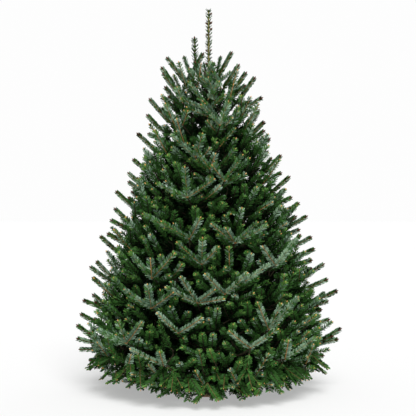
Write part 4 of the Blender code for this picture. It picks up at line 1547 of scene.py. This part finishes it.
class TREE_OT_dress_stand(bpy.types.Operator):
    """Give the boards and braces of the stand their sawn wood"""

    bl_idname = "christmas_tree.dress_stand"
    bl_label = "Dress the Stand"

    def execute(self, context):
        colour = settings().sawn_wood
        along = plank_material("plank_along", colour, (1.4, 26.0, 26.0))
        across = plank_material("plank_across", colour, (26.0, 1.4, 26.0))
        for name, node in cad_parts.items():
            if not name.startswith("stand_"):
                continue
            runs_across = name in ("stand_board_upper", "stand_brace_2", "stand_brace_4")
            node.data.materials.clear()
            node.data.materials.append(across if runs_across else along)
        return {"FINISHED"}


class TREE_OT_set_stage(bpy.types.Operator):
    """Set up the floor, the soft light and the camera"""

    bl_idname = "christmas_tree.set_stage"
    bl_label = "Set the Stage"

    def execute(self, context):
        scene = context.scene
        scene.view_settings.view_transform = "Standard"
        scene.view_settings.look = "None"
        bpy.ops.object.select_all(action="DESELECT")
        bpy.ops.mesh.primitive_plane_add(size=FLOOR_SIZE, location=(0.0, 0.0, 0.0))
        floor = context.object
        floor.name = "floor"
        material, _, shader = new_material("floor_white", 0.9, 0.0)
        shader.inputs["Base Color"].default_value = FLOOR_COLOUR
        shader.inputs["Emission Color"].default_value = (1.0, 1.0, 1.0, 1.0)
        shader.inputs["Emission Strength"].default_value = FLOOR_GLOW
        floor.data.materials.append(material)

        world = bpy.data.worlds.new("soft_white")
        scene.world = world
        world.use_nodes = True
        tree = world.node_tree
        sky = tree.nodes["Background"]
        sky.inputs["Color"].default_value = (1.0, 1.0, 1.0, 1.0)
        seen = tree.nodes.new("ShaderNodeLightPath")
        level = tree.nodes.new("ShaderNodeMapRange")
        level.inputs["To Min"].default_value = SKY_LIGHT
        level.inputs["To Max"].default_value = SKY_SEEN
        link(tree, seen.outputs["Is Camera Ray"], level.inputs["Value"])
        link(tree, level.outputs["Result"], sky.inputs["Strength"])

        for name, energy, spread, tilt, turn in SUNS:
            bpy.ops.object.light_add(type="SUN", location=(0.0, 0.0, 4.0))
            sun = context.object
            sun.name = name
            sun.data.energy = energy
            sun.data.angle = math.radians(spread)
            sun.rotation_euler = (math.radians(tilt), 0.0, math.radians(turn))

        bpy.ops.object.camera_add(location=CAMERA_PLACE,
                                  rotation=(math.radians(90.0), 0.0, 0.0))
        camera = context.object
        camera.name = "camera"
        camera.data.sensor_width = SENSOR_WIDTH
        camera.data.lens = SENSOR_WIDTH * FOCAL_PIXELS / PICTURE_WIDTH
        camera.data.clip_end = 300.0
        scene.camera = camera
        return {"FINISHED"}


class TREE_PT_panel(bpy.types.Panel):
    """The tree's pieces and settings in the sidebar"""

    bl_idname = "TREE_PT_panel"
    bl_label = "Christmas Tree"
    bl_space_type = "VIEW_3D"
    bl_region_type = "UI"
    bl_category = "Tree"

    def draw(self, context):
        layout = self.layout
        for name in TreeSettings.__annotations__:
            layout.prop(context.scene.christmas_tree, name)
        for operator in OPERATORS:
            layout.operator(operator.bl_idname)


OPERATORS = (
    TREE_OT_set_stage,
    TREE_OT_dress_stand,
    TREE_OT_bark_trunk,
    TREE_OT_bark_boughs,
    TREE_OT_grow_needles,
    TREE_OT_grow_twigs,
    TREE_OT_set_buds,
)
CLASSES = (TreeSettings, *OPERATORS, TREE_PT_panel)


def register():
    for entry in CLASSES:
        bpy.utils.register_class(entry)
    bpy.types.Scene.christmas_tree = bpy.props.PointerProperty(type=TreeSettings)


def unregister():
    del bpy.types.Scene.christmas_tree
    for entry in reversed(CLASSES):
        bpy.utils.unregister_class(entry)


def main():
    register()
    bpy.ops.christmas_tree.set_stage()
    bpy.ops.christmas_tree.dress_stand()
    bpy.ops.christmas_tree.bark_trunk()
    bpy.ops.christmas_tree.bark_boughs()
    bpy.ops.christmas_tree.grow_needles()
    bpy.ops.christmas_tree.grow_twigs()
    bpy.ops.christmas_tree.set_buds()


if __name__ == "__main__":
    main()
